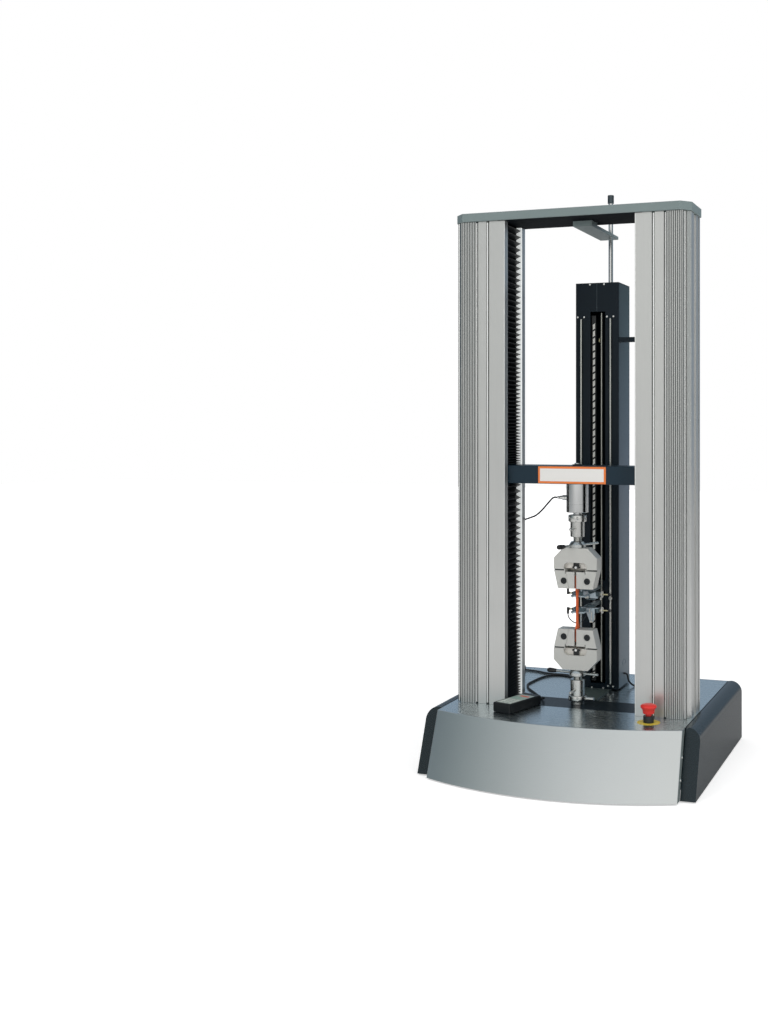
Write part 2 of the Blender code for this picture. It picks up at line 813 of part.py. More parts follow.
outline = [(COL_IN, COL_FRONT)]
for groove_x in GROOVE_XS:
    outline += [
        (groove_x - GROOVE_W / 2, COL_FRONT),
        (groove_x - GROOVE_W / 2, COL_FRONT + GROOVE_D),
        (groove_x + GROOVE_W / 2, COL_FRONT + GROOVE_D),
        (groove_x + GROOVE_W / 2, COL_FRONT),
    ]
for rib in range(RIB_COUNT):
    rib_x = RIB_START + rib * RIB_PITCH
    outline += [
        (rib_x, COL_FRONT),
        (rib_x + 0.0010, COL_FRONT + 0.0018),
        (rib_x + 0.0022, COL_FRONT),
    ]
outline.append((COL_OUT - CAP_CHAMFER, COL_FRONT))
for distance in (0.0055, 0.0115, 0.0170):
    outline += [
        along_chamfer(distance - 0.0011, 0),
        along_chamfer(distance, 0.0014),
        along_chamfer(distance + 0.0011, 0),
    ]
outline += [
    along_chamfer(0.0205, 0),
    along_chamfer(0.0205, 0.0035),
    along_chamfer(0.0255, 0.0035),
    along_chamfer(0.0255, 0),
]
outline.append((COL_OUT, COL_FRONT + CAP_CHAMFER))
for start, end in ((-0.026, 0.008), (0.032, 0.044)):
    outline += [
        (COL_OUT, start),
        (COL_OUT - 0.004, start),
        (COL_OUT - 0.004, end),
        (COL_OUT, end),
    ]
outline += [
    (COL_OUT, COL_REAR - CAP_CHAMFER),
    (COL_OUT - CAP_CHAMFER, COL_REAR),
    (COL_IN, COL_REAR),
    (COL_IN, SLOT_REAR),
    (COL_IN + LIP_DEEP, SLOT_REAR),
    (COL_IN + LIP_DEEP, SLOT_REAR + LIP_T),
    (COL_IN + COL_WALL, SLOT_REAR + LIP_T),
    (COL_IN + COL_WALL, COL_REAR - COL_WALL),
    (COL_OUT - CAP_CHAMFER - COL_WALL * 0.42, COL_REAR - COL_WALL),
    (COL_OUT - COL_WALL, COL_REAR - CAP_CHAMFER - COL_WALL * 0.42),
    (COL_OUT - COL_WALL, COL_FRONT + CAP_CHAMFER + COL_WALL * 0.42),
    (COL_OUT - CAP_CHAMFER - COL_WALL * 0.42, COL_FRONT + COL_WALL),
    (COL_IN + COL_WALL, COL_FRONT + COL_WALL),
    (COL_IN + COL_WALL, SLOT_FRONT - LIP_T),
    (COL_IN + LIP_DEEP, SLOT_FRONT - LIP_T),
    (COL_IN + LIP_DEEP, SLOT_FRONT),
    (COL_IN, SLOT_FRONT),
]
column = prism("column_right", outline, "z", DECK + GAP, CAP_LOW - GAP)
left_column = mirrored("column_left", column)
gland_low = DECK + CELL_CORD_END_H + GAP
cell_gland = box(
    "gland",
    CELL_CORD_END_X - 0.008,
    CELL_CORD_END_X + 0.008,
    COL_REAR - 0.001,
    CELL_CORD_END_Y + 0.008,
    gland_low,
    gland_low + 0.022,
)
weld(left_column, ease(cell_gland, 0.0015, 1))
keep(column, ALU, angle=20)
keep(left_column, ALU, angle=20)


# Bellows: folded strips that close the column slots above and below the crosshead
def bellows(name, side, low, high, tight_low):
    """A strip folded in pleats, packed closer at one end."""
    length = high - low
    count = round(length / ((BELLOWS_TIGHT + BELLOWS_WIDE) / 2))
    first, last = (BELLOWS_TIGHT, BELLOWS_WIDE) if tight_low else (BELLOWS_WIDE, BELLOWS_TIGHT)
    steps = [first + (last - first) * k / (count - 1) for k in range(count)]
    scale = length / sum(steps)
    heights = [low]
    for step in steps:
        heights += [heights[-1] + step * scale / 2, heights[-1] + step * scale]
    ridge = COL_IN + BELLOWS_RIDGE
    valley = ridge + BELLOWS_DEEP
    near = []
    far = []
    for index, height in enumerate(heights):
        x = valley if index % 2 == 0 else ridge
        near.append((side * x, height))
        far.append((side * (x + BELLOWS_SKIN * 2.2), height))
    return prism(name, near + far[::-1], "y", BELLOWS_FRONT, BELLOWS_REAR)


for label, side in (("left", -1), ("right", 1)):
    upper = bellows("bellows_upper_" + label, side, CROSS_TOP + GAP, CAP_LOW - GAP, True)
    keep(upper, RUBBER, (side * COL_IN, 0, CAP_LOW - GAP), 20)
    lower = bellows("bellows_lower_" + label, side, DECK + GAP, CROSS_LOW - GAP, True)
    keep(lower, RUBBER, (side * COL_IN, 0, DECK + GAP), 20)


# Cap: a painted plate with cut corners that ties the columns together
def chamfered(inset):
    left = -CAP_HALF + inset
    right = CAP_HALF - inset
    front = CAP_FRONT + inset
    rear = CAP_REAR - inset
    corner = CAP_CHAMFER - inset * 0.586
    return [
        (left + corner, front),
        (right - corner, front),
        (right, front + corner),
        (right, rear - corner),
        (right - corner, rear),
        (left + corner, rear),
        (left, rear - corner),
        (left, front + corner),
    ]


cap = prism("top_cap", chamfered(0), "z", CAP_LOW, CAP_TOP)
ease(cap, 0.0012, 2)
keep(cap, PAINT_GREY)

# Crosshead with nuts and bushes inside the columns, and its name plate
cross = box(
    "crosshead",
    -CROSS_HALF_X,
    CROSS_HALF_X,
    -CROSS_HALF_Y,
    CROSS_HALF_Y,
    CROSS_LOW,
    CROSS_TOP,
)
ease(cross, 0.0015, 2)
nut_r = 0.026
bush_r = 0.0185
flange_t = 0.008
for label, side in (("left", -1), ("right", 1)):
    ends = sorted((side * (SCREW_X - nut_r - 0.006), side * (ROD_X + bush_r)))
    nut_block = box(
        "nut_block_" + label,
        ends[0],
        ends[1],
        -nut_r - 0.006,
        nut_r + 0.006,
        CROSS_LOW - flange_t,
        CROSS_LOW - GAP,
    )
    ease(nut_block, 0.0010, 1)
    for spot_x, outer, inner in ((SCREW_X, nut_r, SCREW_R), (ROD_X, bush_r, ROD_R)):
        low = (side * spot_x, 0, CROSS_LOW - 0.01)
        high = (side * spot_x, 0, CROSS_TOP + 0.01)
        cut(cross, rod("bore", outer + GAP, low, high, 32))
        sleeve_low = (low[0], 0, CROSS_LOW - 0.004)
        weld(nut_block, rod("sleeve", outer, sleeve_low, (low[0], 0, CROSS_TOP - 0.002), 32))
        run_r = (inner + RUN) / math.cos(math.pi / 32)
        cut(nut_block, rod("run", run_r, low, high, 32))
    keep(nut_block, STEEL)
stud_r = 0.008
cut(cross, rod("stud_bore", stud_r + GAP, (0, 0, CROSS_LOW - 0.01), (0, 0, CROSS_TOP + 0.01)))
keep(cross, PAINT_NAVY)
name_plate = box(
    "name_plate",
    -PLATE_HALF,
    PLATE_HALF,
    -CROSS_HALF_Y - GAP - PLATE_T,
    -CROSS_HALF_Y - GAP,
    CROSS_LOW + CROSS_T / 2 - PLATE_HALF_H,
    CROSS_LOW + CROSS_T / 2 + PLATE_HALF_H,
)
ease(name_plate, 0.0006, 2)
keep(name_plate, PALE)

# Load cell with its stud and nut above the crosshead
cell_low = DECK + CELL_LOW
seam = DECK + CELL_SEAM
neck_top = DECK + UPPER_RING_LOW + RING_T
outline = [
    (0, cell_low),
    (CELL_R - 0.0015, cell_low),
    (CELL_R, cell_low + 0.0015),
    (CELL_R, seam - 0.0006),
    (CELL_R - 0.0008, seam),
    (CELL_R, seam + 0.0006),
    (CELL_R, CROSS_LOW - GAP - 0.0010),
    (CELL_R - 0.0010, CROSS_LOW - GAP),
    (stud_r, CROSS_LOW - GAP),
    (stud_r, CROSS_TOP + 0.0028),
    (0, CROSS_TOP + 0.0028),
]
cell = lathe("load_cell", outline, steps=36)
outline = [
    (stud_r - 0.002, CROSS_TOP + GAP),
    (0.0155, CROSS_TOP + GAP),
    (0.0155, CROSS_TOP + 0.0035),
    (stud_r - 0.002, CROSS_TOP + 0.0035),
]
weld(cell, lathe("washer", outline))
weld(cell, rod("head", 0.0088, (0, 0, CROSS_TOP + 0.0020), (0, 0, CROSS_TOP + 0.0078), 6))
cell_stem_low = DECK + UPPER_RING_LOW + RING_T + 0.002
weld(cell, rod("stem", NECK_R, (0, 0, cell_stem_low), (0, 0, cell_low + 0.004), 32))
socket_z = DECK + 0.6135
weld(cell, rod("boss", 0.0080, (-CELL_R + 0.004, 0, socket_z), (-CELL_R - 0.0030, 0, socket_z), 20))
plug_end = -CELL_R - 0.0030
outline = [
    (0, 0),
    (0.0072, 0),
    (0.0072, 0.010),
    (0.0058, 0.011),
    (0.0058, 0.018),
    (0.0040, 0.020),
    (0.0040, 0.026),
    (0, 0.026),
]
plug_turned = [(r, 0.001 - h) for r, h in outline]
weld(cell, lathe("plug", plug_turned, (plug_end, 0, socket_z), "x", 20))
keep(cell, STEEL)

# Adapters: a pinned sleeve on each side of the specimen with a knurled lock ring
def adapter(name, sleeve_low, sleeve_top, stem_low, foot_r, foot_top):
    outline = [
        (0, stem_low),
        (NECK_R, stem_low),
        (NECK_R, sleeve_low),
        (SLEEVE_R - 0.0015, sleeve_low),
        (SLEEVE_R, sleeve_low + 0.0015),
        (SLEEVE_R, sleeve_top),
        (foot_r, sleeve_top),
        (foot_r, foot_top),
        (0, foot_top),
    ]
    return lathe(name, outline, steps=32)


def lock_ring(name, low, thick, inner):
    outline = [
        (inner, low),
        (RING_R - 0.002, low),
        (RING_R, low + 0.002),
        (RING_R, low + thick - 0.002),
        (RING_R - 0.002, low + thick),
        (inner, low + thick),
    ]
    return lathe(name, outline, steps=36)


def through_pin(name, height):
    """The steel pin through the sleeve from front to rear, with a rounded handle end at the front."""
    front = -SLEEVE_R - PIN_REACH
    pin = rod(name, PIN_R, (0, SLEEVE_R + 0.003, height), (0, front + 0.004, height), 16)
    knob_outline = [(0, 0), (PIN_R, 0.001), (PIN_R + 0.0012, 0.004), (PIN_R, 0.007), (0, 0.008)]
    return weld(pin, lathe("pin_end", knob_outline, (0, front, height), "y", 16))


def pin_bore(height):
    return rod("pin_bore", PIN_R + GAP, (0, -0.05, height), (0, 0.05, height), 16)


grip_top = DECK + GRIP_TOP
lever_low = grip_top + GAP
lever_top = lever_low + LEVER_T
ring_low = DECK + UPPER_RING_LOW
sleeve_low = DECK + UPPER_SLEEVE_LOW
upper = adapter(
    "upper_adapter",
    sleeve_low,
    ring_low + RING_T - 0.004,
    grip_top - 0.004,
    NECK_R + 0.002,
    ring_low + RING_T + 0.0017,
)
pin_z = DECK + UPPER_PIN_H
cut(upper, pin_bore(pin_z))
keep(upper, STEEL)
upper_ring = lock_ring("upper_lock_ring", ring_low, RING_T, SLEEVE_R + GAP)
keep(upper_ring, STEEL, (0, 0, ring_low))
keep(through_pin("upper_cross_pin", pin_z), STEEL, (0, 0, pin_z))

mid = DECK + (GRIP_MOUTH + LOWER_GRIP_MOUTH) / 2
lower_top = 2 * mid - grip_top
low_lever_top = lower_top - GAP
low_lever_low = low_lever_top - LEVER_T
low_ring_low = DECK + LOWER_RING_LOW
lower = adapter(
    "lower_adapter",
    low_ring_low + 0.004,
    DECK + LOWER_SLEEVE_TOP,
    DECK + GAP,
    NECK_R,
    lower_top + 0.004,
)
base_outline = [
    (0, DECK + GAP),
    (0.0205, DECK + GAP),
    (0.0205, DECK + 0.0095),
    (NECK_R - 0.002, DECK + 0.0115),
    (0, DECK + 0.0115),
]
weld(lower, lathe("spigot", base_outline, steps=32))
low_pin_z = DECK + LOWER_PIN_H
cut(lower, pin_bore(low_pin_z))
keep(lower, STEEL)
low_ring = lock_ring("lower_lock_ring", low_ring_low, LOWER_RING_T, SLEEVE_R + GAP)
stub_z = low_ring_low + 0.0060
weld(low_ring, rod("stub", 0.0056, (RING_R - 0.003, 0, stub_z), (0.051, 0, stub_z), 20))
keep(low_ring, STEEL, (0, 0, low_ring_low))
keep(through_pin("lower_cross_pin", low_pin_z), STEEL, (0, 0, low_pin_z))


# Grips: a split block with two wedge jaws, a keeper and a lever ring
def grip_body(name):
    shoulder = DECK + GRIP_SHOULDER
    split = DECK + GRIP_SPLIT
    mouth = DECK + GRIP_MOUTH
    outline = [
        (-GRIP_TOP_HALF, grip_top),
        (GRIP_TOP_HALF, grip_top),
        (GRIP_HALF, shoulder),
        (GRIP_HALF, split),
        (GRIP_MOUTH_HALF, mouth),
        (-GRIP_MOUTH_HALF, mouth),
        (-GRIP_HALF, split),
        (-GRIP_HALF, shoulder),
    ]
    body = prism(name, outline, "y", GRIP_FRONT, GRIP_REAR)
    ease(body, 0.0010, 1)
    pocket = [
        (-JAW_MOUTH_HALF - GAP, mouth - 0.01),
        (JAW_MOUTH_HALF + GAP, mouth - 0.01),
        (JAW_MOUTH_HALF + GAP, mouth),
        (JAW_TOP_HALF + GAP, split - 0.007),
        (JAW_TOP_HALF + 0.003, split - 0.007),
        (JAW_TOP_HALF + 0.003, split + 0.001),
        (WINDOW_HALF, split + 0.001),
        (WINDOW_HALF, split + WINDOW_H * 0.45),
        (WINDOW_HALF - 0.002, split + WINDOW_H * 0.75),
        (WINDOW_HALF - 0.008, split + WINDOW_H),
        (-WINDOW_HALF + 0.008, split + WINDOW_H),
        (-WINDOW_HALF + 0.002, split + WINDOW_H * 0.75),
        (-WINDOW_HALF, split + WINDOW_H * 0.45),
        (-WINDOW_HALF, split + 0.001),
        (-JAW_TOP_HALF - 0.003, split + 0.001),
        (-JAW_TOP_HALF - 0.003, split - 0.007),
        (-JAW_TOP_HALF - GAP, split - 0.007),
        (-JAW_MOUTH_HALF - GAP, mouth),
    ]
    cut(body, prism("pocket", pocket, "y", GRIP_FRONT - 0.01, GRIP_REAR + 0.01))
    for side in (-1, 1):
        near = side * WINDOW_HALF * 0.9
        far = side * (GRIP_HALF + 0.01)
        notch = box(
            "split",
            min(near, far),
            max(near, far),
            GRIP_FRONT - 0.01,
            GRIP_FRONT + 0.0045,
            split - SPLIT_T,
            split,
        )
        cut(body, notch)
        spot = side * 0.0365
        hole_z = mouth + 0.0225
        cut(
            body,
            rod("screw_hole", 0.0092, (spot, GRIP_FRONT - 0.01, hole_z), (spot, GRIP_FRONT + 0.0040, hole_z), 24),
        )
        weld(
            body,
            cut(
                rod("cap_screw", 0.0086, (spot, GRIP_FRONT + 0.0008, hole_z), (spot, GRIP_FRONT + 0.0050, hole_z), 24),
                rod("socket", 0.0050, (spot, GRIP_FRONT - 0.001, hole_z), (spot, GRIP_FRONT + 0.0045, hole_z), 6),
            ),
        )
    cut(body, rod("stem_bore", NECK_R + GAP, (0, 0, grip_top - 0.0045), (0, 0, grip_top + 0.01), 32))
    return body


def jaw(name, side):
    mouth = DECK + GRIP_MOUTH
    split = DECK + GRIP_SPLIT
    inner = SPEC_T / 2 + GAP
    outline = [
        (side * inner, mouth),
        (side * JAW_MOUTH_HALF, mouth),
        (side * JAW_TOP_HALF, split - 0.0075),
        (side * inner, split - 0.0075),
    ]
    piece = prism(name, outline, "y", GRIP_FRONT + 0.0010, GRIP_REAR - 0.0010)
    ease(piece, 0.0005, 1)
    spot = side * (JAW_TOP_HALF - 0.009)
    top = split - 0.0075
    head = rod("head", 0.0030, (spot, GRIP_FRONT + 0.006, top - 0.001), (spot, GRIP_FRONT + 0.006, top + 0.0030), 16)
    return weld(piece, head)


def keeper(name):
    split = DECK + GRIP_SPLIT
    top = split + WINDOW_H
    body = box(name, -0.0085, 0.0085, GRIP_FRONT + 0.002, GRIP_FRONT + 0.018, split + 0.0070, top - GAP)
    ease(body, 0.0008, 1)
    foot = box("foot", -0.0120, 0.0120, GRIP_FRONT + 0.001, GRIP_FRONT + 0.018, split + 0.0035, split + 0.0080)
    return weld(body, foot)


LEVER_TURN = math.radians(66)
LOW_LEVER_TURN = math.radians(-8)


def lever(name, low, thick, turn, short, long):
    outline = [
        (NECK_R + GAP, low),
        (LEVER_R - 0.001, low),
        (LEVER_R, low + 0.001),
        (LEVER_R, low + thick * 0.55),
        (LEVER_R - 0.006, low + thick),
        (NECK_R + GAP, low + thick),
    ]
    ring = lathe(name, outline, steps=32)
    aim = Vector((math.cos(turn), math.sin(turn), 0))
    height = Vector((0, 0, low + thick * 0.36))
    weld(
        ring,
        rod("bar", LEVER_BAR_R, height + aim * short, height + aim * (LEVER_R - 0.004), 16),
        rod("bar", LEVER_BAR_R, height - aim * long, height - aim * (LEVER_R - 0.004), 16),
    )
    return ring


def knob(name, low, thick, turn, long):
    aim = Vector((math.cos(turn), math.sin(turn), 0))
    height = Vector((0, 0, low + thick * 0.36))
    start = height - aim * (long + GAP)
    outline = [
        (0, 0),
        (0.0055, 0),
        (KNOB_R, KNOB_L * 0.45),
        (KNOB_R, KNOB_L - 0.005),
        (KNOB_R - 0.002, KNOB_L - 0.001),
        (0, KNOB_L),
    ]
    piece = lathe(name, outline, steps=20)
    turned = Vector((0, 0, 1)).rotation_difference(-aim).to_matrix().to_4x4()
    piece.data.transform(Matrix.Translation(start) @ turned)
    return piece


upper_grip = grip_body("upper_grip")
lower_grip = flipped("lower_grip", upper_grip, mid)
keep(upper_grip, GRIP_PLATE)
keep(lower_grip, GRIP_PLATE)
jaw_z = DECK + GRIP_MOUTH
for label, side in (("left", -1), ("right", 1)):
    upper_jaw = jaw("upper_jaw_" + label, side)
    lower_jaw = flipped("lower_jaw_" + label, upper_jaw, mid)
    keep(upper_jaw, GRIP_PLATE, (side * JAW_MOUTH_HALF, 0, jaw_z))
    keep(lower_jaw, GRIP_PLATE, (side * JAW_MOUTH_HALF, 0, 2 * mid - jaw_z))
upper_keeper = keeper("upper_keeper")
lower_keeper = flipped("lower_keeper", upper_keeper, mid)
keep(upper_keeper, BLACK)
keep(lower_keeper, BLACK)
upper_lever = lever("upper_lever", lever_low, LEVER_T, LEVER_TURN, 0.092, 0.056)
keep(upper_lever, STEEL, (0, 0, lever_low))
keep(knob("upper_knob", lever_low, LEVER_T, LEVER_TURN, 0.056), BLACK, (0, 0, lever_low))
lower_lever = lever("lower_lever", low_lever_low, LEVER_T, LOW_LEVER_TURN, 0.067, 0.070)
keep(lower_lever, STEEL, (0, 0, low_lever_low))
lower_knob = knob("lower_knob", low_lever_low, LEVER_T, LOW_LEVER_TURN, 0.070)
keep(lower_knob, BLACK, (0, 0, low_lever_low))

# Specimen: a flat bar with wider ends, held edge on between the jaws
spec_half = 0.098
neck_half = 0.040
outline = []
for sign_y in (-1, 1):
    run = [
        (-spec_half, SPEC_END_W / 2),
        (-neck_half - 0.012, SPEC_END_W / 2),
        (-neck_half - 0.004, SPEC_GAUGE_W / 2 + 0.0015),
        (-neck_half, SPEC_GAUGE_W / 2),
        (neck_half, SPEC_GAUGE_W / 2),
        (neck_half + 0.004, SPEC_GAUGE_W / 2 + 0.0015),
        (neck_half + 0.012, SPEC_END_W / 2),
        (spec_half, SPEC_END_W / 2),
    ]
    if sign_y > 0:
        run = run[::-1]
    outline += [(sign_y * wide, mid + height) for height, wide in run]
specimen = prism("specimen", outline, "x", -SPEC_T / 2, SPEC_T / 2)
keep(specimen, ORANGE)

# Extensometer: an open fronted tower with two carriages on guide rods
tower_low = DECK + 0.003 + GAP
tower_top = DECK + TOWER_TOP
tower = box("extensometer_tower", TOWER_LEFT, TOWER_RIGHT, TOWER_FRONT, TOWER_REAR, tower_low, tower_top)
tools = [
    box(
        "tower_hollow",
        TOWER_LEFT + TOWER_WALL,
        TOWER_RIGHT - TOWER_WALL,
        TOWER_FRONT + TOWER_WALL,
        TOWER_REAR - TOWER_WALL,
        tower_low + TOWER_WALL,
        tower_top - TOWER_WALL,
    ),
    box(
        "tower_slot",
        TOWER_SLOT[0],
        TOWER_SLOT[1],
        TOWER_FRONT - 0.01,
        TOWER_FRONT + 0.02,
        DECK + TOWER_OPEN_LOW,
        DECK + TOWER_OPEN_TOP,
    ),
]
for guide_x in GUIDE_XS:
    tools.append(
        box(
            "guide_channel",
            guide_x - 0.007,
            guide_x + 0.007,
            TOWER_FRONT - 0.01,
            TOWER_FRONT + 0.002,
            DECK + TOWER_OPEN_LOW,
            DECK + TOWER_OPEN_TOP - GUIDE_DOWN,
        )
    )
tools.append(
    rod(
        "stay_bore",
        STAY_R + GAP,
        (STAY_X, STAY_Y, tower_top - 0.05),
        (STAY_X, STAY_Y, tower_top + 0.01),
    )
)
cut(tower, *tools)
arm_low = DECK + TOWER_TOP - SIDE_ARM_DOWN
arm_front = TOWER_FRONT + 0.0015
arm_rear = arm_front + SIDE_ARM_W
stay_arm = box("side_arm", TOWER_RIGHT - 0.002, COL_IN + 0.012, arm_front, arm_rear, arm_low, arm_low + 0.015)
weld(tower, stay_arm)
weld(tower, box("arm_end", COL_IN, COL_IN + 0.012, COL_REAR + GAP, arm_front + 0.005, arm_low, arm_low + 0.015))
keep(tower, PAINT_NAVY)

for label, guide_x in zip(("left", "right"), GUIDE_XS):
    low = (guide_x, TOWER_FRONT - 0.0020, DECK + TOWER_OPEN_LOW + GAP)
    high = (guide_x, TOWER_FRONT - 0.0020, DECK + TOWER_OPEN_TOP - GUIDE_DOWN - GAP)
    keep(rod("extensometer_guide_" + label, GUIDE_R, low, high, 16), STEEL)


def carriage(name, height, flip):
    """Slide block inside the tower, an arm through its slot and a forked head at the specimen."""
    block = box(
        name,
        TOWER_LEFT + TOWER_WALL + GAP,
        TOWER_RIGHT - TOWER_WALL - GAP,
        TOWER_FRONT + 0.024,
        TOWER_FRONT + 0.044,
        height - 0.018,
        height + 0.018,
    )
    arm_half = 0.0055
    weld(block, box("arm", -0.0180, -0.0060, 0.075, TOWER_FRONT + 0.030, height - arm_half, height + arm_half))
    fin = [
        (0.195, height - 0.004),
        (0.195, height + 0.004),
        (0.110, height + 0.016),
        (0.050, height + 0.012),
        (0.050, height - 0.006),
        (0.110, height - 0.008),
    ]
    fin = [(y, height + flip * (z - height)) for y, z in fin]
    weld(block, prism("fin", fin, "x", 0.0000 - 0.0090, -0.0040))
    weld(block, box("head", -0.030, 0.050, 0.048, 0.078, height - 0.0065, height + 0.0065))
    weld(block, rod("cross", 0.0032, (-0.048, 0.060, height), (0.086, 0.060, height), 16))
    weld(block, rod("washer", 0.0085, (0.058, 0.060, height), (0.0615, 0.060, height), 20))
    weld(block, rod("elbow", 0.0055, (-0.050, 0.060, height + 0.004), (-0.050, 0.060, height - 0.016), 16))
    for side in (-1, 1):
        near = side * (SPEC_T / 2 + GAP)
        far = side * 0.016
        prong = [
            (near, -0.002),
            (near, 0.002),
            (far, 0.010),
            (far + side * 0.004, 0.060),
            (far + side * 0.010, 0.060),
            (far + side * 0.004, -0.004),
            (far - side * 0.004, -0.006),
        ]
        weld(block, prism("prong", prong, "z", height - 0.002, height + 0.002))
    return block


gauge_mid = DECK + GAUGE_MID
for label, sign in (("upper", 1), ("lower", -1)):
    height = gauge_mid + sign * GAUGE / 2
    piece = carriage("extensometer_arm_" + label, height, sign)
    keep(piece, ALU, (0, TOWER_FRONT, height))

foot_plate = box(
    "extensometer_foot",
    FOOT_PLATE_LEFT,
    FOOT_PLATE_RIGHT,
    BEAM_REAR + 0.002,
    TOWER_REAR - 0.010,
    DECK + GAP,
    DECK + 0.003,
)
ease(foot_plate, 0.0006, 1)
keep(foot_plate, BRUSHED)

# Stay rod from the tower to the bracket under the cap
stay = rod(
    "stay_rod",
    STAY_R,
    (STAY_X, STAY_Y, tower_top - TOWER_WALL - 0.040),
    (STAY_X, STAY_Y, DECK + STAY_TOP_H - 0.024),
    32,
)
weld(stay, rod("sleeve", STAY_R + 0.0026, (STAY_X, STAY_Y, DECK + STAY_TOP_H - 0.026), (STAY_X, STAY_Y, DECK + STAY_TOP_H), 32))
keep(stay, STEEL)
block_low = CAP_LOW - BRACKET_BLOCK_T
bracket = box(
    "top_bracket", BRACKET_LEFT, BRACKET_RIGHT, BRACKET_FRONT, BRACKET_REAR, block_low, block_low + BRACKET_T
)
weld(
    bracket,
    box("block", BRACKET_LEFT, BRACKET_RIGHT, BRACKET_FRONT, 0.050, block_low, CAP_LOW - GAP),
)
tools = [
    rod("stay_hole", STAY_R + GAP, (STAY_X, STAY_Y, block_low - 0.01), (STAY_X, STAY_Y, CAP_LOW), 32)
]
for hole_x, hole_y, hole_r in ((0.0363, 0.1294, 0.0045), (0.0376, 0.1697, 0.0045), (0.0400, 0.2570, 0.003)):
    tools.append(rod("hole", hole_r, (hole_x, hole_y, block_low - 0.01), (hole_x, hole_y, CAP_LOW), 16))
cut(bracket, *tools)
keep(bracket, PAINT_GREY)

# Emergency stop on the deck
where = (ESTOP_X, ESTOP_Y, DECK + GAP)
collar = [
    (0.0088, 0),
    (ESTOP_COLLAR_R, 0),
    (ESTOP_COLLAR_R, 0.0180),
    (ESTOP_COLLAR_R - 0.001, 0.0190),
    (0.0088, 0.0190),
]
keep(lathe("estop_collar", collar, where, steps=32), BLACK)
stem_low = DECK + GAP + 0.0120
head_low = DECK + GAP + 0.0190 + ESTOP_TRAVEL + 0.0010
head = [
    (0, stem_low),
    (0.0080, stem_low),
    (0.0080, head_low),
    (ESTOP_COLLAR_R + 0.0008, head_low),
    (ESTOP_COLLAR_R + 0.0020, head_low + 0.0060),
    (ESTOP_HEAD_R - 0.0005, head_low + 0.0165),
    (ESTOP_HEAD_R, head_low + 0.0185),
    (ESTOP_HEAD_R, head_low + 0.0205),
    (ESTOP_HEAD_R - 0.0040, head_low + 0.0245),
    (ESTOP_HEAD_R - 0.0120, head_low + 0.0262),
    (0, head_low + 0.0268),
]
keep(lathe("estop_head", head, (ESTOP_X, ESTOP_Y, 0), steps=32), RED, (ESTOP_X, ESTOP_Y, head_low))

# Hand pendant lying on the deck
pendant = box(
    "pendant_case", -PENDANT_L / 2, PENDANT_L / 2, -PENDANT_W / 2, PENDANT_W / 2, 0, PENDANT_T
)
ease(pendant, 0.0035, 2)
well = box("well", -0.066, 0.052, -0.026, 0.026, PENDANT_T - 0.0012, PENDANT_T + 0.01)
cut(pendant, well)
weld(pendant, rod("relief", 0.0055, (PENDANT_L / 2 - 0.002, -0.014, 0.012), (PENDANT_L / 2 + 0.018, -0.014, 0.012), 16))
turn = Matrix.Translation((PENDANT_X, PENDANT_Y, DECK + GAP)) @ Matrix.Rotation(PENDANT_TURN, 4, "Z")
pendant.data.transform(turn)
keep(pendant, BLACK)

# Cords on the deck and from the load cell, with their glands
cord_z = DECK + CORD_R + GAP


def on_deck(knots):
    """A smooth route between two straight ends that never sinks into the deck."""
    route = [knots[0]] + smooth_route(knots[1:-1], 0.0130) + [knots[-1]]
    return [Vector((p[0], p[1], max(p[2], cord_z))) for p in route]


relief = turn @ Vector((PENDANT_L / 2 + 0.018 + GAP, -0.014, 0.012))
pendant_knots = [
    relief,
    turn @ Vector((PENDANT_L / 2 + 0.0270, -0.014, 0.012)),
    turn @ Vector((PENDANT_L / 2 + 0.0360, -0.014, 0.0095)),
    (-0.1230, 0.0250, cord_z),
    (-0.1690, 0.0860, cord_z),
    (-0.2085, 0.1400, cord_z),
    (-0.2270, 0.1850, cord_z),
    (-0.2270, 0.2350, cord_z),
    (-0.2220, 0.2850, cord_z),
    (-0.2130, 0.3160, cord_z),
    (-0.1960, 0.3400, cord_z),
    (-0.1700, 0.3490, cord_z),
    (-0.1400, 0.3380, cord_z),
    (-0.1130, 0.3080, cord_z),
    (-0.0950, 0.2900, DECK + 0.0140),
    (-0.0850, 0.2860, DECK + 0.0290),
    (-0.0790, 0.2860, DECK + 0.0320),
    (TOWER_LEFT - GAP, 0.2860, DECK + 0.0320),
]
left_knots = [
    (TOWER_LEFT - GAP, 0.3080, DECK + 0.0320),
    (-0.0790, 0.3080, DECK + 0.0320),
    (-0.0850, 0.3085, DECK + 0.0290),
    (-0.0960, 0.3130, DECK + 0.0140),
    (-0.1140, 0.3300, cord_z),
    (-0.1400, 0.3520, cord_z),
    (-0.1700, 0.3600, cord_z),
    (-0.2030, 0.3580, cord_z),
    (-0.2300, 0.3640, cord_z),
    (-0.2670, 0.3810, cord_z),
    (-0.3060, 0.3900, cord_z),
    (GLAND_SPOTS[0][0] + GLAND_HALF + GAP, 0.3900, cord_z),
]
right_knots = [
    (TOWER_RIGHT + GAP, 0.2600, DECK + 0.0440),
    (0.0740, 0.2600, DECK + 0.0440),
    (0.0800, 0.2615, DECK + 0.0400),
    (0.0850, 0.2660, DECK + 0.0180),
    (0.1000, 0.2760, cord_z),
    (0.1200, 0.3040, cord_z),
    (0.1480, 0.3280, cord_z),
    (GLAND_SPOTS[1][0] - GLAND_HALF - GAP, 0.3280, cord_z),
]
keep(tube("pendant_cord", on_deck(pendant_knots), CORD_R), BLACK)
keep(tube("extensometer_cord_left", on_deck(left_knots), CORD_R), BLACK)
keep(tube("extensometer_cord_right", on_deck(right_knots), CORD_R), BLACK)

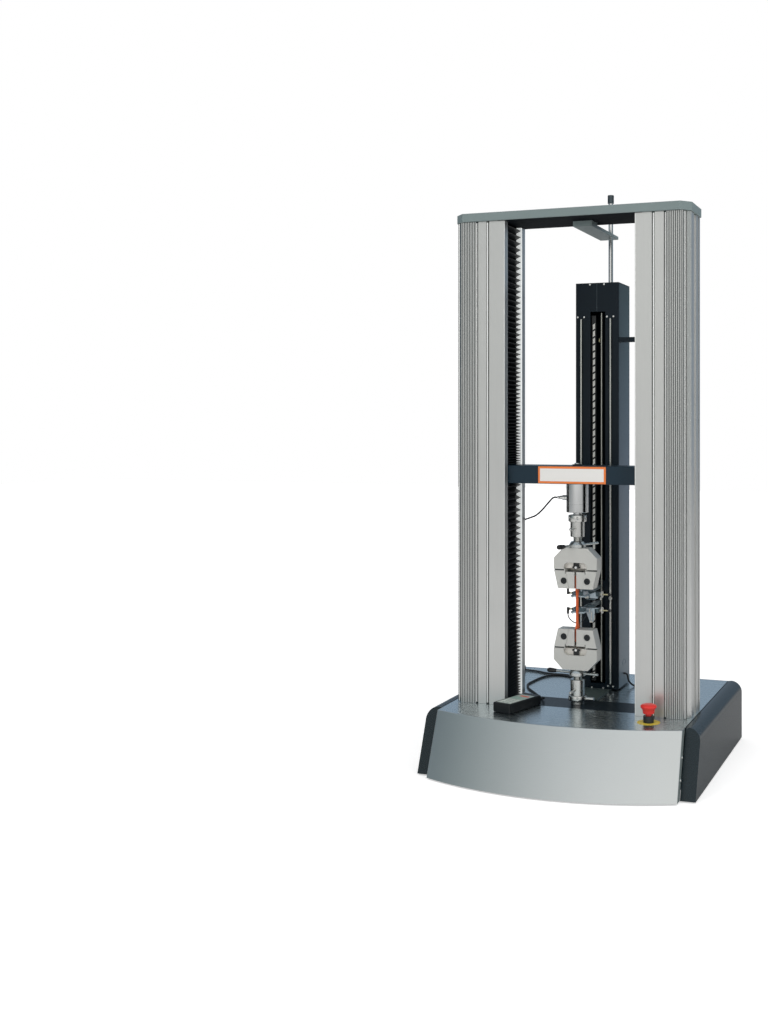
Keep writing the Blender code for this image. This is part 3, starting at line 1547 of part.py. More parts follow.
cell_knots = [
    (plug_end - 0.026 - GAP, 0.0, socket_z),
    (plug_end - 0.040, 0.0010, socket_z - 0.0010),
    (-0.0960, 0.0120, DECK + 0.5960),
    (-0.1250, 0.0300, DECK + 0.5700),
    (-0.1520, 0.0520, DECK + 0.5530),
    (-0.1820, 0.0830, DECK + 0.5430),
    (-0.2120, 0.1050, DECK + 0.5300),
    (-0.2320, 0.1120, DECK + 0.4900),
    (-0.2370, 0.1120, DECK + 0.4000),
    (-0.2380, 0.1120, DECK + 0.2500),
    (-0.2390, 0.1120, DECK + 0.1300),
    (-0.2450, 0.1120, DECK + 0.0850),
    (-0.2700, 0.1120, DECK + 0.0600),
    (-0.2950, 0.1120, DECK + 0.0850),
    (-0.3010, 0.1120, DECK + 0.1300),
    (CELL_CORD_END_X, CELL_CORD_END_Y, DECK + 0.3000),
    (CELL_CORD_END_X, CELL_CORD_END_Y, DECK + 0.5200),
    (CELL_CORD_END_X, CELL_CORD_END_Y, DECK + CELL_CORD_END_H),
]
cell_cord = tube("load_cell_cord", smooth_route(cell_knots, 0.0260), CELL_CORD_R)
keep(cell_cord, BLACK)

# Each piece gets its own origin, and all move so that the base is centred
for piece_name, piece in PARTS.items():
    origin = ORIGINS[piece_name]
    piece.data.transform(Matrix.Translation(-origin))
    piece.location = origin + Vector((0, AXIS_Y, 0))
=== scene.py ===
import math
import bmesh
import bpy
from mathutils import Matrix, Vector


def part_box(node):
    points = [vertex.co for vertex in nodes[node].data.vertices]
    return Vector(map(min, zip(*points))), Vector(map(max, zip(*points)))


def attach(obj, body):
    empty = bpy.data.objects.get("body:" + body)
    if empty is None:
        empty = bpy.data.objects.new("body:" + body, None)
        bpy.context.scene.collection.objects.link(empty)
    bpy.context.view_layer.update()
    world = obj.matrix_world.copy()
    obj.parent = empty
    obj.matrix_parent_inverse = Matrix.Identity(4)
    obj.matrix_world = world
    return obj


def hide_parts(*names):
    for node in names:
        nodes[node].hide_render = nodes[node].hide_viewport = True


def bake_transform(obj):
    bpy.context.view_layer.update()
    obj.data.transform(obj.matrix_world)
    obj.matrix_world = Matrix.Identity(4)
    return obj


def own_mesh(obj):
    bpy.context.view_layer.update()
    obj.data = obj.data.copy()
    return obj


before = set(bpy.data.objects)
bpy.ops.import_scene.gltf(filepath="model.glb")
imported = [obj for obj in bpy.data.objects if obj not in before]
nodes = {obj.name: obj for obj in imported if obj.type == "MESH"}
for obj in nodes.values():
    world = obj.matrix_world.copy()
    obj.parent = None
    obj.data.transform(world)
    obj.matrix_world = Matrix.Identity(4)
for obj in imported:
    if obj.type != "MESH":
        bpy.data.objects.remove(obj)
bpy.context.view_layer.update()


# Camera: a level view from the right with a shifted lens, so that the columns stay upright.
# The position was worked out from the edges of the cap, the columns and the deck.
CAMERA_PLACE = (1.0855, -3.3564, 1.0160)
CAMERA_TURN = 18.564
camera_data = bpy.data.cameras.new("camera")
camera_data.sensor_width = 36
camera_data.lens = 41.08
camera_data.shift_x = -0.1816
camera_data.shift_y = -0.0861
camera = bpy.data.objects.new("camera", camera_data)
camera.location = CAMERA_PLACE
camera.rotation_euler = (math.radians(90), 0, math.radians(CAMERA_TURN))
bpy.context.collection.objects.link(camera)
bpy.context.scene.camera = camera
bpy.context.scene.view_settings.view_transform = "Standard"


# Studio: a pale floor and a white surround, with large soft lamps at the front left and the right.
# Metal mirrors a bright front, dark blue sides and a pale ceiling, and none of the lamps themselves.
def shader_node(tree, kind, values=None, **settings):
    """A new shader node with its settings and the values of its inputs."""
    made = tree.nodes.new("ShaderNode" + kind)
    for key, value in settings.items():
        setattr(made, key, value)
    for key, value in (values or {}).items():
        made.inputs[key].default_value = value
    return made


def colour_ramp(tree, *stops):
    """A colour ramp through stops of a position and a colour, from the lowest to the highest."""
    made = shader_node(tree, "ValToRGB")
    steps = made.color_ramp.elements
    for index, (position, colour) in ((0, stops[0]), (1, stops[-1])):
        steps[index].position = position
        steps[index].color = (*colour, 1)
    for position, colour in stops[1:-1]:
        steps.new(position).color = (*colour, 1)
    return made


def link(tree, *pairs):
    """Links each output to the input beside it."""
    for giver, taker in pairs:
        tree.links.new(giver, taker)


def lamp(name, place, aim, wide, high, power):
    """A rectangular soft lamp that points from a place to another and that metal doesn't mirror."""
    light = bpy.data.lights.new(name, "AREA")
    light.shape = "RECTANGLE"
    light.size = wide
    light.size_y = high
    light.energy = power
    obj = bpy.data.objects.new(name, light)
    obj.location = place
    obj.rotation_euler = (Vector(aim) - Vector(place)).to_track_quat("-Z", "Y").to_euler()
    obj.visible_glossy = False
    bpy.context.collection.objects.link(obj)


lamp("key_lamp", (-1.6, -3.6, 2.3), (0, 0, 0.8), 1.6, 2.2, 36)
lamp("fill_lamp", (3.2, -1.6, 1.8), (0, 0, 0.9), 1.2, 2.4, 46)
lamp("top_lamp", (0.2, -0.6, 4.2), (0, 0, 0), 2.4, 2.4, 22)

world = bpy.data.worlds.new("studio")
world.use_nodes = True
bpy.context.scene.world = world
tree = world.node_tree
FRONT_WAY = (0.308, -0.951, 0)
CEILING_BLUE = (0.55, 0.62, 0.68, 1)
SOFT_GREY = (0.50, 0.50, 0.50, 1)
WHITE = (1, 1, 1, 1)
path = shader_node(tree, "LightPath")
direction = shader_node(tree, "TexCoord")
frontal = shader_node(tree, "VectorMath", {1: FRONT_WAY}, operation="DOT_PRODUCT")
spread = shader_node(tree, "MapRange", {"From Min": -1})
surround = colour_ramp(
    tree,
    (0, (0.25, 0.32, 0.40)),
    (0.08, (0.21, 0.27, 0.34)),
    (0.20, (0.15, 0.21, 0.26)),
    (0.50, (0.08, 0.12, 0.15)),
    (0.62, (0.17, 0.225, 0.235)),
    (0.76, (0.37, 0.41, 0.41)),
    (0.88, (0.73, 0.74, 0.73)),
    (0.95, (0.98, 0.98, 0.96)),
    (1, (1.0, 1.0, 0.99)),
)
split = shader_node(tree, "SeparateXYZ")
ceiling = shader_node(tree, "MapRange", {"From Min": 0.30, "From Max": 0.95})
mirrored = shader_node(tree, "Mix", {7: CEILING_BLUE}, data_type="RGBA")
seen = shader_node(tree, "Mix", {6: SOFT_GREY}, data_type="RGBA")
direct = shader_node(tree, "Mix", {7: WHITE}, data_type="RGBA")
link(
    tree,
    (direction.outputs["Generated"], frontal.inputs[0]),
    (frontal.outputs["Value"], spread.inputs["Value"]),
    (spread.outputs[0], surround.inputs["Fac"]),
    (direction.outputs["Generated"], split.inputs[0]),
    (split.outputs["Z"], ceiling.inputs["Value"]),
    (ceiling.outputs[0], mirrored.inputs[0]),
    (surround.outputs["Color"], mirrored.inputs[6]),
    (path.outputs["Is Glossy Ray"], seen.inputs[0]),
    (mirrored.outputs[2], seen.inputs[7]),
    (path.outputs["Is Camera Ray"], direct.inputs[0]),
    (seen.outputs[2], direct.inputs[6]),
    (direct.outputs[2], tree.nodes["Background"].inputs["Color"]),
)

FLOOR_HALF = 14
corners = [(x * FLOOR_HALF, y * FLOOR_HALF, 0) for x, y in ((-1, -1), (1, -1), (1, 1), (-1, 1))]
floor_mesh = bpy.data.meshes.new("floor")
floor_mesh.from_pydata(corners, [], [(0, 1, 2, 3)])
floor = bpy.data.objects.new("floor", floor_mesh)
bpy.context.collection.objects.link(floor)
floor_paint = bpy.data.materials.new("floor_paint")
floor_paint.use_nodes = True
tree = floor_paint.node_tree
floor_shader = tree.nodes["Principled BSDF"]
floor_shader.inputs["Base Color"].default_value = (0.88, 0.88, 0.88, 1)
floor_shader.inputs["Roughness"].default_value = 0.9
floor_shader.inputs["Emission Color"].default_value = WHITE
glow = shader_node(tree, "LightPath")
spot = shader_node(tree, "TexCoord")
away = shader_node(tree, "VectorMath", operation="LENGTH")
fade = shader_node(tree, "MapRange", {"From Min": 0.8, "From Max": 5.0, "To Min": 0.50, "To Max": 1.0})
glow_share = shader_node(tree, "Math", operation="MULTIPLY")
link(
    tree,
    (spot.outputs["Object"], away.inputs[0]),
    (away.outputs["Value"], fade.inputs["Value"]),
    (fade.outputs[0], glow_share.inputs[1]),
    (glow.outputs["Is Camera Ray"], glow_share.inputs[0]),
    (glow_share.outputs[0], floor_shader.inputs["Emission Strength"]),
)
floor_mesh.materials.append(floor_paint)


# Cords: black round cables on the deck and one from the load cell, round the left column.
# Each is a smooth tube on the route of its solid, from one gland or plug to another.
def finish(
    name, colour, rough, metal=0.0, grain=90, shade=0.10, gloss=0.08, relief=0.0, coat=0.0, sheen=0.5
):
    """A finish whose colour, roughness and relief vary with a fine grain and a slow cloud."""
    made = bpy.data.materials.new(name)
    made.use_nodes = True
    tree = made.node_tree
    shader = tree.nodes["Principled BSDF"]
    shader.inputs["Metallic"].default_value = metal
    shader.inputs["Specular IOR Level"].default_value = sheen
    shader.inputs["Coat Weight"].default_value = coat
    shader.inputs["Coat Roughness"].default_value = 0.15
    scale = grain if isinstance(grain, tuple) else (grain, grain, grain)
    polished_to = {"To Min": max(0.02, rough - gloss), "To Max": min(1, rough + gloss)}
    darker = [c * (1 - shade) for c in colour]
    lighter = [min(1, c * (1 + shade)) for c in colour]
    place = shader_node(tree, "TexCoord")
    stretch = shader_node(tree, "Mapping", {"Scale": scale})
    fine = shader_node(tree, "TexNoise", {"Scale": 1.0, "Detail": 4, "Roughness": 0.6})
    cloud = shader_node(tree, "TexNoise", {"Scale": 7, "Detail": 3})
    both = shader_node(tree, "Mix", {0: 0.35})
    tint = colour_ramp(tree, (0.30, darker), (0.70, lighter))
    polish = shader_node(tree, "MapRange", {"From Min": 0.3, "From Max": 0.7, **polished_to})
    link(
        tree,
        (place.outputs["Object"], stretch.inputs["Vector"]),
        (stretch.outputs[0], fine.inputs["Vector"]),
        (place.outputs["Object"], cloud.inputs["Vector"]),
        (fine.outputs["Fac"], both.inputs[2]),
        (cloud.outputs["Fac"], both.inputs[3]),
        (both.outputs[0], tint.inputs["Fac"]),
        (tint.outputs["Color"], shader.inputs["Base Color"]),
        (fine.outputs["Fac"], polish.inputs["Value"]),
        (polish.outputs[0], shader.inputs["Roughness"]),
    )
    if relief:
        bump = shader_node(tree, "Bump", {"Strength": 0.6, "Distance": relief})
        link(tree, (fine.outputs["Fac"], bump.inputs["Height"]), (bump.outputs[0], shader.inputs["Normal"]))
    return made


def dress(material, *names):
    """Gives CAD nodes a material."""
    for name in names:
        for place in nodes[name].material_slots:
            place.material = material


def fit(piece, material, body, slot, *replaced):
    """Gives a piece its material, the body that it moves with and the nodes that it stands for."""
    piece.data.materials.clear()
    piece.data.materials.append(material)
    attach(piece, body)
    if replaced:
        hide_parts(*replaced)
    return piece


def add(name, bm, sharp=None):
    """A piece from a finished shape, with hard edges wherever it turns by more than the sharp angle."""
    mesh = bpy.data.meshes.new(name)
    bm.to_mesh(mesh)
    bm.free()
    if sharp:
        mesh.set_sharp_from_angle(angle=math.radians(sharp))
    obj = bpy.data.objects.new(name, mesh)
    bpy.context.collection.objects.link(obj)
    return obj


GLAND_TALL = 0.016
low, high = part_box("lower_adapter")
AXIS_Y = (low[1] + high[1]) / 2
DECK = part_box("deck_plate")[1][2] - GLAND_TALL
GAP = 0.0003
CORD_R = 0.0030
CELL_CORD_R = 0.0026


def smooth_line(knots, spacing):
    """Points at an even spacing on a smooth curve through the knots."""
    knots = [Vector(knot) for knot in knots]
    ends = [2 * knots[0] - knots[1]] + knots + [2 * knots[-1] - knots[-2]]
    fine = []
    for index in range(1, len(ends) - 2):
        p0, p1, p2, p3 = ends[index - 1 : index + 3]
        for step in range(40):
            t = step / 40
            bent = (2 * p0 - 5 * p1 + 4 * p2 - p3) * t * t
            twisted = (3 * p1 - p0 - 3 * p2 + p3) * t * t * t
            fine.append(0.5 * (2 * p1 + (p2 - p0) * t + bent + twisted))
    fine.append(knots[-1])
    total = sum((b - a).length for a, b in zip(fine, fine[1:]))
    step = total / max(2, round(total / spacing))
    points = [fine[0]]
    run = 0.0
    for a, b in zip(fine, fine[1:]):
        length = (b - a).length
        while run + length >= step * len(points) and step * (len(points) + 0.5) < total:
            points.append(a.lerp(b, (step * len(points) - run) / length))
        run += length
    return points + [fine[-1]]


def tube(name, points, radius, sides=14):
    """A round tube along a line of points, closed at both ends."""
    bm = bmesh.new()
    points = [Vector(p) for p in points]
    side = None
    rings = []
    for index, point in enumerate(points):
        ahead = points[min(index + 1, len(points) - 1)] - points[max(index - 1, 0)]
        ahead.normalize()
        if side is None:
            side = ahead.orthogonal().normalized()
        side = (side - ahead * side.dot(ahead)).normalized()
        other = ahead.cross(side)
        ring = []
        for step in range(sides):
            turn = math.tau * step / sides
            ring.append(bm.verts.new(point + (side * math.cos(turn) + other * math.sin(turn)) * radius))
        rings.append(ring)
    for near, far in zip(rings, rings[1:]):
        for step in range(sides):
            after = (step + 1) % sides
            bm.faces.new((near[step], near[after], far[after], far[step])).smooth = True
    bm.faces.new(rings[0][::-1])
    bm.faces.new(rings[-1])
    return add(name, bm, 50)


def place_by_axis(knots):
    """Points given from the load axis, moved into the machine's frame."""
    return [Vector((p[0], p[1] + AXIS_Y, p[2])) for p in knots]


SIDES = (("left", -1), ("right", 1))
rubber = finish("black_rubber", (0.018, 0.019, 0.021), 0.55, grain=400, shade=0.25, relief=0.00004)
cord_z = DECK + CORD_R + GAP
CABLE_SPACING = 0.0065
CELL_CABLE_SPACING = 0.0080
LOOP_Y = 0.112
TOWER_LEFT = -0.0725
TOWER_RIGHT = 0.0675
PENDANT_L = 0.150
PENDANT_W = 0.063
PENDANT_T = 0.028
PENDANT_TURN = math.radians(72.6)
RELIEF_Y = -0.014
RELIEF_Z = 0.012
pendant_place = Matrix.Translation((-0.152, -0.102, DECK + GAP)) @ Matrix.Rotation(PENDANT_TURN, 4, "Z")
pendant_route = [
    pendant_place @ Vector((PENDANT_L / 2 + 0.018 + GAP, RELIEF_Y, RELIEF_Z)),
    pendant_place @ Vector((PENDANT_L / 2 + 0.0270, RELIEF_Y, RELIEF_Z)),
    pendant_place @ Vector((PENDANT_L / 2 + 0.0360, RELIEF_Y, 0.0095)),
    (-0.1230, 0.0250, cord_z),
    (-0.1690, 0.0860, cord_z),
    (-0.2085, 0.1400, cord_z),
    (-0.2270, 0.1850, cord_z),
    (-0.2270, 0.2350, cord_z),
    (-0.2220, 0.2850, cord_z),
    (-0.2130, 0.3160, cord_z),
    (-0.1960, 0.3400, cord_z),
    (-0.1700, 0.3490, cord_z),
    (-0.1400, 0.3380, cord_z),
    (-0.1130, 0.3080, cord_z),
    (-0.0950, 0.2900, DECK + 0.0140),
    (-0.0850, 0.2860, DECK + 0.0290),
    (-0.0790, 0.2860, DECK + 0.0320),
    (TOWER_LEFT - GAP, 0.2860, DECK + 0.0320),
]
left_route = [
    (TOWER_LEFT - GAP, 0.3080, DECK + 0.0320), (-0.0790, 0.3080, DECK + 0.0320),
    (-0.0850, 0.3085, DECK + 0.0290), (-0.0960, 0.3130, DECK + 0.0140), (-0.1140, 0.3300, cord_z),
    (-0.1400, 0.3520, cord_z), (-0.1700, 0.3600, cord_z), (-0.2030, 0.3580, cord_z),
    (-0.2300, 0.3640, cord_z), (-0.2670, 0.3810, cord_z), (-0.3060, 0.3900, cord_z),
    (-0.3150 + GAP, 0.3900, cord_z),
]
right_route = [
    (TOWER_RIGHT + GAP, 0.2600, DECK + 0.0440), (0.0740, 0.2600, DECK + 0.0440),
    (0.0800, 0.2615, DECK + 0.0400), (0.0850, 0.2660, DECK + 0.0180), (0.1000, 0.2760, cord_z),
    (0.1200, 0.3040, cord_z), (0.1480, 0.3280, cord_z), (0.1560 - GAP, 0.3280, cord_z),
]
cell_route = [
    (-0.0365 - 0.026 - GAP, 0.0, DECK + 0.6135), (-0.0365 - 0.040, 0.0010, DECK + 0.6125),
    (-0.0960, 0.0120, DECK + 0.5960), (-0.1250, 0.0300, DECK + 0.5700),
    (-0.1520, 0.0520, DECK + 0.5530), (-0.1820, 0.0830, DECK + 0.5430),
    (-0.2120, 0.1050, DECK + 0.5300), (-0.2320, LOOP_Y, DECK + 0.4900),
    (-0.2370, LOOP_Y, DECK + 0.4000), (-0.2380, LOOP_Y, DECK + 0.2500),
    (-0.2390, LOOP_Y, DECK + 0.1300), (-0.2450, LOOP_Y, DECK + 0.0850),
    (-0.2700, LOOP_Y, DECK + 0.0600), (-0.2950, LOOP_Y, DECK + 0.0850),
    (-0.3010, LOOP_Y, DECK + 0.1300), (-0.3020, LOOP_Y, DECK + 0.3000),
    (-0.3020, LOOP_Y, DECK + 0.5200), (-0.3020, LOOP_Y, DECK + 0.7200),
]
for cord_name, knots, on_deck in (
    ("pendant_cord", pendant_route, True),
    ("extensometer_cord_left", left_route, True),
    ("extensometer_cord_right", right_route, True),
    ("load_cell_cord", cell_route, False),
):
    if on_deck:
        route = [Vector(knots[0])] + smooth_line(knots[1:-1], CABLE_SPACING) + [Vector(knots[-1])]
        route = [Vector((p[0], p[1], max(p[2], cord_z))) for p in route]
    else:
        route = smooth_line(knots, CELL_CABLE_SPACING)
    route = place_by_axis(route)
    radius = CORD_R if on_deck else CELL_CORD_R
    cord = tube(cord_name + "_cable", route, radius)
    cord.data.materials.append(rubber)
    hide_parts(cord_name)
    if on_deck:
        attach(cord, "frame")
    else:
        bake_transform(cord)
    length = sum((b - a).length for a, b in zip(route, route[1:]))
    tuple(route[0])
    [tuple(p) for p in route]


# Front panel: one bowed and leaning sheet of brushed stainless steel with a flange at each end.
# The flanges are painted, and two button head screws through each hold it to the side of the tray.
def skin(name, rings):
    """A surface over rings of points, each with the same number, capped at both ends."""
    bm = bmesh.new()
    rows = [[bm.verts.new(point) for point in ring] for ring in rings]
    count = len(rows[0])
    for near, far in zip(rows, rows[1:]):
        for step in range(count):
            after = (step + 1) % count
            bm.faces.new((near[step], near[after], far[after], far[step]))
    bm.faces.new(rows[0][::-1])
    bm.faces.new(rows[-1])
    bmesh.ops.recalc_face_normals(bm, faces=bm.faces)
    for face in bm.faces:
        face.smooth = True
    return add(name, bm, 32)


def turned(name, outline, place=(0, 0, 0), axis="z", steps=96):
    """A lathe turned piece from (radius, height) points about an axis through a place."""
    turn = {
        "z": Matrix.Identity(4),
        "x": Matrix.Rotation(math.pi / 2, 4, "Y"),
        "y": Matrix.Rotation(-math.pi / 2, 4, "X"),
    }[axis]
    where = Matrix.Translation(place) @ turn
    bm = bmesh.new()
    rows = []
    for step in range(steps):
        spin = math.tau * step / steps
        ring = [where @ Vector((r * math.cos(spin), r * math.sin(spin), h)) for r, h in outline]
        rows.append([bm.verts.new(point) for point in ring])
    count = len(outline)
    for near, far in zip(rows, rows[1:] + rows[:1]):
        for step in range(count):
            after = (step + 1) % count
            if outline[step][0] < 1e-7 and outline[after][0] < 1e-7:
                continue
            bm.faces.new((near[step], near[after], far[after], far[step]))
    bmesh.ops.remove_doubles(bm, verts=bm.verts, dist=0.000005)
    bmesh.ops.recalc_face_normals(bm, faces=bm.faces)
    for face in bm.faces:
        face.smooth = True
    return add(name, bm, 32)


def settle(obj):
    """Applies the modifiers that a piece carries."""
    graph = bpy.context.evaluated_depsgraph_get()
    graph.update()
    made = bpy.data.meshes.new_from_object(obj.evaluated_get(graph))
    obj.modifiers.clear()
    obj.data = made
    return obj


def round_edges(obj, width, segments=3, angle=35):
    """Rounds the edges that turn by more than the angle."""
    change = obj.modifiers.new("round", "BEVEL")
    change.width = width
    change.segments = segments
    change.limit_method = "ANGLE"
    change.angle_limit = math.radians(angle)
    change.harden_normals = True
    return settle(obj)


def slab(name, outline, axis, low, high, edge=0.0, at=(0, 0, 0)):
    """A flat outline run along an axis: x takes (y, z) points, y takes (x, z), z takes (x, y).

    All of them are measured from the point at.
    """
    spot = {
        "x": lambda a, b, h: (h, a, b),
        "y": lambda a, b, h: (a, h, b),
        "z": lambda a, b, h: (a, b, h),
    }[axis]
    rings = [[[c + d for c, d in zip(at, spot(a, b, h))] for a, b in outline] for h in (low, high)]
    made = skin(name, rings)
    for face in made.data.polygons:
        face.use_smooth = False
    return round_edges(made, edge) if edge else made


def block(name, xs, ys, zs, edge=0.0, at=(0, 0, 0)):
    """A block over three ranges, measured from the point at; xs may come in either order."""
    x0, x1 = sorted(xs)
    y0, y1 = ys
    return slab(name, [(x0, y0), (x1, y0), (x1, y1), (x0, y1)], "z", *zs, edge, at)


def carve(obj, *tools):
    """Cuts the tools out of a piece and removes them."""
    for tool in tools:
        change = obj.modifiers.new("carve", "BOOLEAN")
        change.operation = "DIFFERENCE"
        change.solver = "EXACT"
        change.object = tool
        settle(obj)
        bpy.data.objects.remove(tool)
    return obj


def join(name, *pieces):
    """Several shapes as one piece."""
    bm = bmesh.new()
    for piece in pieces:
        bm.from_mesh(piece.data)
        bpy.data.objects.remove(piece)
    return add(name, bm)


def aimed(way):
    """The turn that brings the upward direction to another one."""
    return Vector((0, 0, 1)).rotation_difference(Vector(way)).to_matrix().to_4x4()


def screws(name, spots, aim, radius, height=None, hollow=0.5):
    """Button head screws with a hexagon socket, all facing the same way."""
    tall = height or radius * 0.75
    heads = []
    for spot in spots:
        outline = [
            (0, tall * 0.45), (radius * hollow, tall * 0.45), (radius * hollow, tall),
            (radius * 0.72, tall * 0.97), (radius * 0.93, tall * 0.70), (radius, tall * 0.30),
            (radius, 0), (0, 0),
        ]
        head = turned("head", outline, steps=24)
        head.data.transform(Matrix.Translation(spot) @ aimed(aim))
        heads.append(head)
    return join(name, *heads)


stainless = finish(
    "brushed_stainless", (0.72, 0.735, 0.725), 0.34, 1.0, grain=(9, 900, 1400), shade=0.03, gloss=0.03
)
screw_steel = finish("screw_steel", (0.78, 0.78, 0.76), 0.22, 1.0, grain=700, shade=0.05)
PANEL_LOW = {"half": 0.3668, "corner": -0.2674, "bow": 0.0772, "height": 0.004}
PANEL_TOP = {"half": 0.3644, "corner": -0.1966, "bow": 0.0665, "height": DECK}
PANEL_RETURN = 0.030
PANEL_SHEET = 0.003
BOW_STEPS = 72
FLANGE_T = 0.0003


def panel_at(height):
    """The y of the panel's corners and its half width at a height."""
    share = (height - PANEL_LOW["height"]) / (DECK - PANEL_LOW["height"])
    return [PANEL_LOW[key] + (PANEL_TOP[key] - PANEL_LOW[key]) * share for key in ("corner", "half")]


def bowed_row(edge, inset):
    """The panel's line at one height: flange, front and flange, sunk by the inset."""
    half = edge["half"]
    radius = (half * half + edge["bow"] ** 2) / (2 * edge["bow"])
    centre = edge["corner"] - edge["bow"] + radius
    reach = math.asin(half / radius)
    row = []
    for step in range(BOW_STEPS + 1):
        turn = -reach + 2 * reach * step / BOW_STEPS
        x = (radius - inset) * math.sin(turn)
        x = max(-half + inset, min(half - inset, x))
        row.append((x, centre - math.sqrt((radius - inset) ** 2 - x * x)))
    back = edge["corner"] + PANEL_RETURN
    return [(-half + inset, back)] + row + [(half - inset, back)]


rings = []
for edge in (PANEL_LOW, PANEL_TOP):
    ring = bowed_row(edge, 0) + bowed_row(edge, PANEL_SHEET)[::-1]
    rings.append([(x, y + AXIS_Y, edge["height"]) for x, y in ring])
panel = round_edges(skin("front_panel_sheet", rings), 0.0009, 2, 50)
fit(panel, stainless, "frame", "brushed_sheet", "front_panel")
flange_paint = finish("flange_paint", (0.19, 0.23, 0.23), 0.5, 0.2, grain=500, shade=0.06)
lean = (PANEL_LOW["half"] - PANEL_TOP["half"]) / (DECK - PANEL_LOW["height"])
for label, side in SIDES:
    outline = [
        (PANEL_LOW["corner"] + AXIS_Y + 0.0020, 0.006),
        (PANEL_LOW["corner"] + AXIS_Y + 0.0260, 0.006),
        (PANEL_TOP["corner"] + AXIS_Y + 0.0280, DECK - 0.002),
        (PANEL_TOP["corner"] + AXIS_Y + 0.0020, DECK - 0.002),
    ]
    ends = sorted((side * (PANEL_LOW["half"] - FLANGE_T), side * (PANEL_LOW["half"] + FLANGE_T)))
    flange = slab("panel_flange_" + label, outline, "x", *ends, 0.0001)
    shear = Matrix.Identity(4)
    shear[0][2] = -side * lean
    shear[0][3] = side * lean * PANEL_LOW["height"]
    flange.data.transform(shear)
    fit(flange, flange_paint, "frame", "brushed_sheet")
for label, side in SIDES:
    spots = []
    for share in (0.30, 0.61):
        height = PANEL_LOW["height"] + (DECK - PANEL_LOW["height"]) * share
        corner, half = panel_at(height)
        spots.append((side * half, corner + 0.017 + AXIS_Y, height))
    fit(screws("panel_screws_" + label, spots, (side, 0, 0), 0.0042), screw_steel, "frame", "turned_steel")


# Deck: a polished stainless plate let in between the front panel and the rear, mirror like.
# A dark painted bridge of the load beam shows through its slot between the columns.
# Black moulded shells are pushed over the two cable glands that are screwed into it.
deck_steel = finish(
    "deck_stainless", (0.76, 0.83, 0.85), 0.27, 1.0, grain=(30, 900, 900), shade=0.02, gloss=0.015
)
dress(deck_steel, "deck_plate")
bridge_paint = finish("bridge_paint", (0.006, 0.012, 0.018), 0.35, grain=300, shade=0.2, sheen=0.3)
dress(bridge_paint, "load_beam")
gland_shells = []
GLAND_HALF = 0.0103
for gland_x, gland_y in ((-0.3250, 0.3900), (0.1660, 0.3280)):
    base = (gland_x, gland_y + AXIS_Y, DECK)
    body = (-GLAND_HALF, GLAND_HALF)
    shell = block("shell", body, body, (0.0002, GLAND_TALL + 0.0003), 0.0022, base)
    way_y = (-GLAND_HALF - 0.001, -GLAND_HALF + 0.0008)
    way = block("way", (-0.0036, 0.0036), way_y, (0.002, 0.0095), at=base)
    gland_shells.append(carve(shell, way))
fit(join("deck_glands", *gland_shells), rubber, "frame", "black_rubber")
foot_steel = finish("foot_plate_steel", (0.095, 0.13, 0.125), 0.5, 0.2, grain=(500, 20, 500), shade=0.1)
dress(foot_steel, "extensometer_foot")


# Tray, rear panel and feet: folded sheet painted dark navy, with a fine satin grain.
# The rear panel is screwed to the tray and carries a fan with a wire guard and the inlet.
navy = finish(
    "navy_paint", (0.009, 0.022, 0.032), 0.36, grain=900, shade=0.15, relief=0.00002, sheen=0.35
)
dress(navy, "base_tray", "rear_panel")


def bar(name, start, end, radius, steps=32, edge=0.0006, at=(0, 0, 0)):
    """A round bar between two points, measured from the point at, with chamfered ends."""
    start, end = (Vector([a + b for a, b in zip(at, point)]) for point in (start, end))
    length = (end - start).length
    outline = [
        (0, 0), (radius - edge, 0), (radius, edge), (radius, length - edge), (radius - edge, length),
        (0, length),
    ]
    made = turned(name, outline, steps=steps)
    made.data.transform(Matrix.Translation(start) @ aimed(end - start))
    return made


rear_low, rear_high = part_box("rear_panel")
fan_black = finish("fan_black", (0.014, 0.015, 0.016), 0.45, grain=500, shade=0.2)
REAR_Y = rear_high[1]
FAN = (0.1065 - rear_high[0], REAR_Y, 0.090)
FAN_HALF = (-0.0385, 0.0385)
BLADES = 7
fan_frame = block("fan_frame", FAN_HALF, (-0.028, -0.0035), FAN_HALF, 0.002, FAN)
carve(fan_frame, bar("bore", (0, -0.024, 0), (0, 0, 0), 0.0365, 64, at=FAN))
hub = bar("hub", (0, -0.026, 0), (0, -0.007, 0), 0.0150, 48, at=FAN)
blades = []
vane_outline = [(0.013, 0.004), (0.036, 0.011), (0.036, -0.002), (0.013, -0.006)]
for step in range(BLADES):
    turn = math.tau * step / BLADES
    vane = slab("vane", vane_outline, "y", -0.0007, 0.0007, 0.0002)
    vane.data.transform(Matrix.Rotation(turn, 4, "Y") @ Matrix.Rotation(math.radians(32), 4, "X"))
    vane.data.transform(Matrix.Translation((FAN[0], REAR_Y - 0.016, FAN[2])))
    blades.append(vane)
fit(join("rear_fan", fan_frame, hub, *blades), fan_black, "frame", "black_plastic")
guard = []
for radius in (0.0090, 0.0165, 0.0240, 0.0315, 0.0380):
    ring = [(radius, -0.0011), (radius + 0.0008, -0.0003), (radius, 0.0005), (radius - 0.0008, -0.0003)]
    guard.append(turned("ring", ring, (FAN[0], REAR_Y - 0.0012, FAN[2]), "y", 64))
for step in range(4):
    turn = math.radians(45 + 90 * step)
    near = (0.0085 * math.cos(turn), -0.0012, 0.0085 * math.sin(turn))
    far = (0.0520 * math.cos(turn), -0.0002, 0.0520 * math.sin(turn))
    guard.append(bar("spoke", near, far, 0.0009, 12, at=FAN))
guard_wire = finish("guard_wire", (0.55, 0.56, 0.56), 0.3, 0.9, grain=600, shade=0.06)
fit(join("fan_guard", *guard), guard_wire, "frame", "turned_steel")
